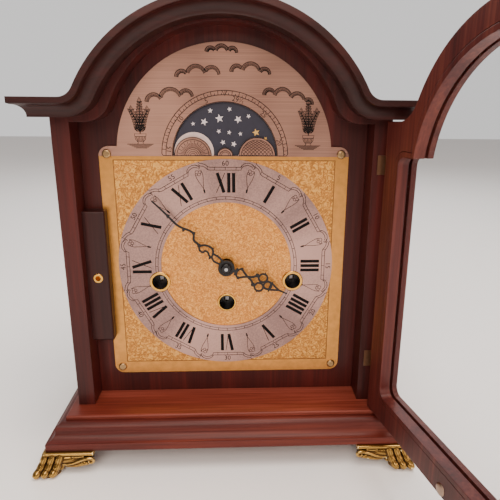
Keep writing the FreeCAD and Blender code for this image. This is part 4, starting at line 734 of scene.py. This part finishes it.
# painted shade: a black sleeve lines each winding hole and closes to an eye at the winding square
tube_painted_shade, tube_tree = new_material("painted_shade_in_tubes")
close_material(tube_tree, add_node(tube_tree, "ShaderNodeBsdfPrincipled",
                                   {"Base Color": srgb("#080607"), "Roughness": 0.3,
                                    "Specular IOR Level": 0.4}))
lining = bmesh.new()
for x, up in WINDING:
    mouth = bmesh.ops.create_circle(lining, segments=48, radius=HOLE_R,
                                    matrix=Matrix.Translation((x, RING_FACE + 0.2, DIAL_Z + up))
                                    @ facing_front())["verts"]
    edges = {e for v in mouth for e in v.link_edges}
    for depth, radius in ((BUSH_BACK - 0.4 - RING_FACE, HOLE_R), (0.0, EYE_R)):
        drawn = bmesh.ops.extrude_edge_only(lining, edges=list(edges))["geom"]
        ends = [v for v in drawn if isinstance(v, bmesh.types.BMVert)]
        bmesh.ops.translate(lining, verts=ends, vec=(0, depth, 0))
        bmesh.ops.scale(lining, verts=ends, vec=(radius / HOLE_R, 1, radius / HOLE_R),
                        space=Matrix.Translation((-x, 0, -DIAL_Z - up)))
        edges = {e for e in drawn if isinstance(e, bmesh.types.BMEdge)
                 and all(v in ends for v in e.verts)}
bmesh.ops.recalc_face_normals(lining, faces=lining.faces)
bmesh.ops.scale(lining, verts=lining.verts, vec=(MM, MM, MM))
lining_mesh = bpy.data.meshes.new("winding_tube_painted_shade")
lining.to_mesh(lining_mesh)
lining.free()
place_mesh(lining_mesh, "winding_tube_painted_shade", tube_painted_shade, "case")

# ---------------------------------------------------------------------------
# Movement: brass plates, wheels and barrels, steel arbors, and an iron block with
# steel rods that the hammers strike. A barrel's arbor is steel and shows in front
# of the plate as the winding square.
# ---------------------------------------------------------------------------
satin_brass = metal("movement_brass_satin", "#c9a255", 0.35)
bright_steel = metal("bright_steel", "#a9a9ad", 0.28)
black_iron = metal("black_painted_iron", "#1c1c1d", 0.5, 0.0)
low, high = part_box("movement_front_plate")
barrel_metal, barrel_tree = new_material("brass_barrel_on_steel_arbor")
along_arbor = add_node(barrel_tree, "ShaderNodeSeparateXYZ", links={
    "Vector": add_node(barrel_tree, "ShaderNodeTexCoord").outputs["Object"]})
in_front = add_node(barrel_tree, "ShaderNodeMapRange",
                    {"From Min": low[1] - 0.2 * MM, "From Max": low[1]},
                    {"Value": along_arbor.outputs["Y"]})
two_metals = add_node(barrel_tree, "ShaderNodeMixRGB",
                      {"Color1": srgb("#77777b"), "Color2": srgb("#c9a255")},
                      {"Fac": in_front.outputs["Result"]})
close_material(barrel_tree, add_node(barrel_tree, "ShaderNodeBsdfPrincipled",
                                     {"Metallic": 1.0, "Roughness": 0.33},
                                     {"Base Color": two_metals.outputs["Color"]}))
finish(barrel_metal, "barrel_chime", "barrel_time", "barrel_strike")
finish(satin_brass, "movement_front_plate", "movement_back_plate", "movement_pillars",
       "hour_wheel", "minute_wheel",
       "balance_wheel", "balance_cock", "moon_bridge", "hammer_1", "hammer_2", "hammer_3",
       "hammer_4")
finish(bright_steel, "movement_brackets", "cannon_pinion", "minute_wheel_stud", "centre_arbor",
       "hammer_shaft", "chime_rods")
finish(black_iron, "chime_rod_block")

# ---------------------------------------------------------------------------
# Rear door: a mahogany panel with sound slots, on two brass hinges, held shut
# by a brass turn button.
# ---------------------------------------------------------------------------
finish(case_upright, "rear_door")
finish(bright_brass, "rear_hinge_frame_leaves", "rear_hinge_door_leaves", "rear_turn_button",
       "rear_button_screw")

# ---------------------------------------------------------------------------
# Front door: a mahogany frame of the hood's outline, glazed with clear sheet
# glass behind a bead, on two small brass hinges. Its bottom rail has a turned
# brass knob and a round-headed screw.
# ---------------------------------------------------------------------------
door_wood = lacquered_mahogany("mahogany_lacquer_door", "#32110f", "#491b18", "#643026", ALONG_Z)
finish(door_wood, "door_frame", "glazing_bead")
finish(bright_brass, "door_knob", "door_catch_pin")
finish(metal("dulled_brass_hinges", "#7d5c46", 0.42), "door_hinge_case_leaves",
       "door_hinge_door_leaves")
# round-headed screw in the bottom rail, placed on the shut door and swung open with it
HINGE_LINE = (121.7, -72.7)                  # mm
OPEN = math.radians(102.4)
SCREW = (-104.0, 7.0, 47.5)                  # mm from the hinge line, and its height
SCREW_R, DOME = 4.3, 0.3                     # the dome's depth is a share of its radius
screw_head = bmesh.new()
bmesh.ops.create_uvsphere(screw_head, u_segments=32, v_segments=16, radius=SCREW_R)
bmesh.ops.scale(screw_head, verts=screw_head.verts, vec=(1, DOME, 1))
bmesh.ops.translate(screw_head, verts=screw_head.verts, vec=SCREW)
bmesh.ops.rotate(screw_head, verts=screw_head.verts, matrix=Matrix.Rotation(OPEN, 3, "Z"))
bmesh.ops.translate(screw_head, verts=screw_head.verts, vec=(*HINGE_LINE, 0))
bmesh.ops.scale(screw_head, verts=screw_head.verts, vec=(MM, MM, MM))
for face in screw_head.faces:
    face.smooth = True
head_mesh = bpy.data.meshes.new("rail_screw_head")
screw_head.to_mesh(head_mesh)
screw_head.free()
place_mesh(head_mesh, "rail_screw_head", metal("nickelled_brass", "#9c8574", 0.3), "front_door")
clear_glass, glass_tree = new_material("sheet_glass_clear")
close_material(glass_tree, add_node(glass_tree, "ShaderNodeBsdfPrincipled",
                                    {"Base Color": srgb("#2a3431"), "Roughness": 0.02,
                                     "IOR": 1.45, "Alpha": 0.05}))
finish(clear_glass, "door_glass")

# ---------------------------------------------------------------------------
# Claw feet: cast brass, each a paw of five toes with two leafy brackets, under a
# corner plate that shows past the plinth. The casting is polished; its hollows are
# darkened by dark patina and painted shade, and its ridges carry painted highlights.
# ---------------------------------------------------------------------------
low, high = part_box("plinth_moulding")
CORNER_X, CORNER_Y, FOOT_TOP = high[0] / MM, -low[1] / MM, low[2] / MM
PLATE_T, PLATE_OVER, PLATE_ARM, PLATE_BAND = 3.0, 2.6, 38.0, 13.0
TOE_PITCH, TOE_R, TOE_TIP = 6.2, 2.75, 8.2
TOE_STEPS, KNUCKLES, CLAW_FROM = 18, 3.5, 0.86       # the claw tapers in the toe's last part
GRAIN_OF_CAST = 0.42                         # mm, the finest form that the casting keeps

cast_brass, brass_tree = new_material("cast_brass_polished")
surface = add_node(brass_tree, "ShaderNodeNewGeometry")
# by pointiness: dark patina and painted shade in the hollows, painted highlights on the ridges
patina_shade_highlight = ramp(brass_tree, surface.outputs["Pointiness"],
              [(0.455, "#120a05"), (0.498, "#5c4120"), (0.522, "#b8914b"), (0.57, "#ffefb2")])
dulled = add_node(brass_tree, "ShaderNodeMapRange",
                  {"From Min": 0.45, "From Max": 0.52, "To Min": 0.6, "To Max": 0.2},
                  {"Value": surface.outputs["Pointiness"]})
close_material(brass_tree, add_node(brass_tree, "ShaderNodeBsdfPrincipled", {"Metallic": 0.95},
                                    {"Base Color": patina_shade_highlight.outputs["Color"],
                                     "Roughness": dulled.outputs["Result"]}))


def rods(paths):
    """Round bars through (x, y, z, radius) points in mm, as one rough mesh for casting."""
    curve = bpy.data.curves.new("foot_wax", "CURVE")
    curve.dimensions = "3D"
    curve.bevel_depth, curve.bevel_resolution, curve.use_fill_caps = 1.0, 3, True
    curve.resolution_u = 5
    for path in paths:
        line = curve.splines.new("NURBS")
        line.points.add(len(path) - 1)
        for point, (x, y, z, radius) in zip(line.points, path):
            point.co, point.radius = (x, y, z, 1), radius
        line.order_u = 3
        line.use_endpoint_u = True
    drawn = bpy.data.objects.new("foot_wax", curve)
    bpy.context.scene.collection.objects.link(drawn)
    mesh = bpy.data.meshes.new_from_object(drawn.evaluated_get(
        bpy.context.evaluated_depsgraph_get()))
    bpy.data.objects.remove(drawn)
    return mesh


def toe(k):
    """Toe k from the corner: knuckles that swell and pinch a little, then the claw."""
    x0, x1 = 0.2 - TOE_PITCH * 0.93 * k, TOE_TIP - TOE_PITCH * k
    y0, y1 = (0.2, TOE_TIP) if k == 0 else (0.6, TOE_TIP - 0.5 * k)
    path = []
    for step in range(TOE_STEPS + 1):
        t = step / TOE_STEPS
        swell = 0.94 + 0.17 * abs(math.sin(math.pi * KNUCKLES * t)) ** 0.8 + 0.1 * t
        if t > CLAW_FROM:
            swell *= 1 - 3.6 * (t - CLAW_FROM)
        drop = t + 0.16 * math.sin(math.pi * t)
        path.append((x0 + (x1 - x0) * t, y0 + (y1 - y0) * (0.75 * t + 0.25 * t * t),
                     FOOT_TOP - 2.6 - (FOOT_TOP - 4.4) * drop + 0.6 * t, TOE_R * swell))
    return path


def leaf(points, y, thick):
    """Bar on the bracket's face that swells in the middle, through (x, z) points."""
    last = len(points) - 1
    return [(x, y, z, thick * (0.45 + 0.55 * math.sin(math.pi * (i + 0.35) / (last + 0.7))))
            for i, (x, z) in enumerate(points)]


bracket = [
    leaf([(-8, 10.4), (-13, 9.2), (-19, 9.6), (-24, 11.6), (-29, 13.8), (-33.6, 14.6),
          (-36.4, 13.2), (-36.2, 11.0), (-34.0, 10.2), (-32.4, 11.4), (-33.2, 12.8)], 1.5, 1.5),
    leaf([(-15, 7.4), (-20, 7.6), (-25, 8.4), (-30, 9.4), (-33, 9.2)], 0.4, 2.1),
    leaf([(-11, 14.6), (-15, 13.0), (-19, 12.9), (-22, 14.4)], 0.9, 1.5),
    leaf([(-20, 15.6), (-24.5, 15.0), (-29, 16.0)], 0.9, 1.2),
    leaf([(-17, 11.6), (-20.5, 8.8), (-22.0, 6.9)], 1.5, 0.9),
    leaf([(-22, 12.2), (-25.0, 9.6), (-26.8, 7.6)], 1.5, 0.9),
    leaf([(-27, 13.6), (-29.4, 11.2), (-30.6, 8.8)], 1.3, 0.8),
    [(-9, -2.0, 12.4, 5.0), (-16, -2.2, 12.4, 4.6), (-24, -2.2, 12.6, 4.2), (-32, -2.2, 13.0, 3.7),
     (-35.5, -2.2, 13.6, 2.6)]]
half_foot = [toe(1), toe(2)] + bracket
swapped = [[(y, x, z, r) for x, y, z, r in path] for path in half_foot]
trunk = [[(-5.4, -5.4, 17.5, 7.8), (-5.0, -5.0, 12.0, 7.8), (-3.0, -3.0, 6.0, 7.8),
          (-1.4, -1.4, -3.0, 7.4)],
         [(-10.5, -3.6, 15.0, 5.2), (-10.6, -3.4, 9.0, 4.8), (-8.6, -2.6, 4.0, 4.0)],
         [(-3.6, -10.5, 15.0, 5.2), (-3.4, -10.6, 9.0, 4.8), (-2.6, -8.6, 4.0, 4.0)]]
roll = FOOT_TOP - PLATE_T / 2
plate_edge = [[(-PLATE_ARM + 1.2, PLATE_OVER - 1.3, roll, 1.5), (-18, PLATE_OVER - 1.3, roll, 1.5),
               (PLATE_OVER - 1.3, PLATE_OVER - 1.3, roll, 1.5)],
              [(PLATE_OVER - 1.3, PLATE_OVER - 1.3, roll, 1.5), (PLATE_OVER - 1.3, -18, roll, 1.5),
               (PLATE_OVER - 1.3, -PLATE_ARM + 1.2, roll, 1.5)]]
cast = bmesh.new()
cast.from_mesh(rods(half_foot + swapped + trunk + [toe(0)] + plate_edge))
mid_band, mid_arm = PLATE_OVER / 2 - PLATE_BAND / 2 - 0.6, PLATE_OVER / 2 - PLATE_ARM / 2 - 0.6
for x, y, wide, deep in ((mid_arm, mid_band, PLATE_ARM, PLATE_BAND),
                         (mid_band, mid_arm, PLATE_BAND, PLATE_ARM)):
    bmesh.ops.create_cube(cast, size=1.0, matrix=Matrix.Translation((x, y, roll + 0.1))
                          @ Matrix.Diagonal((wide, deep, PLATE_T - 0.2, 1)))
wax = bpy.data.meshes.new("foot_wax")
cast.to_mesh(wax)
cast.free()
pattern = bpy.data.objects.new("foot_wax", wax)
bpy.context.scene.collection.objects.link(pattern)
skin = pattern.modifiers.new("skin", "REMESH")
skin.mode, skin.voxel_size = "VOXEL", GRAIN_OF_CAST
soften = pattern.modifiers.new("soften", "SMOOTH")
soften.factor, soften.iterations = 0.5, 2
casting = bpy.data.meshes.new_from_object(pattern.evaluated_get(
    bpy.context.evaluated_depsgraph_get()))
bpy.data.objects.remove(pattern)
trimmed = bmesh.new()
trimmed.from_mesh(casting)
for point, up in (((0, 0, 0.0), (0, 0, -1)), ((0, 0, FOOT_TOP), (0, 0, 1))):
    cut_edges = bmesh.ops.bisect_plane(trimmed, geom=trimmed.verts[:] + trimmed.edges[:]
                                       + trimmed.faces[:], plane_co=point, plane_no=up,
                                       clear_outer=True)["geom_cut"]
    bmesh.ops.holes_fill(trimmed,
                         edges=[e for e in cut_edges if isinstance(e, bmesh.types.BMEdge)])
for name, sx, sy in (("front_left", -1, -1), ("front_right", 1, -1), ("rear_left", -1, 1),
                     ("rear_right", 1, 1)):
    foot = trimmed.copy()
    bmesh.ops.translate(foot, verts=foot.verts, vec=(CORNER_X, CORNER_Y, 0))
    bmesh.ops.scale(foot, verts=foot.verts, vec=(sx * MM, sy * MM, MM))
    bmesh.ops.recalc_face_normals(foot, faces=foot.faces)
    for face in foot.faces:
        face.smooth = True
    mesh = bpy.data.meshes.new("cast_foot_" + name)
    foot.to_mesh(mesh)
    foot.free()
    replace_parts(place_mesh(mesh, "cast_foot_" + name, cast_brass, "case"),
                "claw_foot_" + name)
trimmed.free()

# ---------------------------------------------------------------------------
# Floor, studio light and the camera at the photograph's viewing angle.
# ---------------------------------------------------------------------------
paper, paper_tree = new_material("pale_floor")
close_material(paper_tree, add_node(paper_tree, "ShaderNodeBsdfPrincipled",
                                    {"Base Color": srgb("#fbfafa"), "Roughness": 0.85}))
floor_mesh = bpy.data.meshes.new("floor")
ground_bm = bmesh.new()
bmesh.ops.create_grid(ground_bm, x_segments=1, y_segments=1, size=4.0)
ground_bm.to_mesh(floor_mesh)
ground_bm.free()
floor = bpy.data.objects.new("floor", floor_mesh)
bpy.context.scene.collection.objects.link(floor)
floor_mesh.materials.append(paper)

# the room is bright above and behind the clock and dim in front of it, as in a shaded corner
world = bpy.data.worlds.new("studio")
bpy.context.scene.world = world
world.use_nodes = True
room = world.node_tree
room.nodes.clear()
around = add_node(room, "ShaderNodeTexCoord")
split = add_node(room, "ShaderNodeSeparateXYZ", links={"Vector": around.outputs["Generated"]})
lift = add_node(room, "ShaderNodeMath", {"operation": "MULTIPLY", 1: 0.45},
                {0: split.outputs["Z"]})
slope = add_node(room, "ShaderNodeMath", {"operation": "MULTIPLY_ADD", 1: 0.35},
                 {0: split.outputs["Y"], 2: lift.outputs[0]})
height = add_node(room, "ShaderNodeMapRange", {"From Min": -0.6, "From Max": 0.7},
                  {"Value": slope.outputs[0]})
walls = ramp(room, height.outputs["Result"], [(0.0, "#3a3230"), (0.45, "#6b605c"),
                                              (1.0, "#fffaf6")])
seen = add_node(room, "ShaderNodeLightPath")
backdrop = add_node(room, "ShaderNodeMixRGB", {"Color2": srgb("#f4f2f1")},
                    {"Fac": seen.outputs["Is Camera Ray"], "Color1": walls.outputs["Color"]})
sky_shader = add_node(room, "ShaderNodeBackground", {"Strength": 1.0},
                      {"Color": backdrop.outputs["Color"]})
add_node(room, "ShaderNodeOutputWorld", links={"Surface": sky_shader.outputs[0]})


def softbox(name, place, aim, size, power, colour):
    light = bpy.data.lights.new(name, "AREA")
    light.shape = "RECTANGLE"
    light.size, light.size_y = size
    light.energy = power
    light.color = srgb(colour)[:3]
    lamp = bpy.data.objects.new(name, light)
    lamp.location = place
    lamp.rotation_euler = (Vector(aim) - Vector(place)).to_track_quat("-Z", "Y").to_euler()
    bpy.context.scene.collection.objects.link(lamp)


AIM = (0.0, -0.03, 0.17)
softbox("key", (-0.2, -1.3, 0.95), AIM, (0.9, 0.9), 17, "#fff0e2")
softbox("fill", (1.0, -1.1, 0.6), AIM, (0.8, 0.8), 7, "#ffe6da")
softbox("over", (0.3, -0.4, 1.45), AIM, (1.2, 0.8), 22, "#fff2e6")
softbox("back", (0.2, 1.2, 1.2), AIM, (1.4, 0.8), 12, "#ffffff")

camera_data = bpy.data.cameras.new("photo_camera")
camera_data.sensor_width = 36.0
camera_data.lens = 36.07
camera_data.shift_x, camera_data.shift_y = -0.0286, -0.0048
camera_data.clip_start = 0.01
camera = bpy.data.objects.new("photo_camera", camera_data)
camera.location = (0.01096, -0.43354, 0.28171)
camera.rotation_euler = [math.radians(a) for a in (74.01, -0.527, -2.741)]
bpy.context.scene.collection.objects.link(camera)
bpy.context.scene.camera = camera
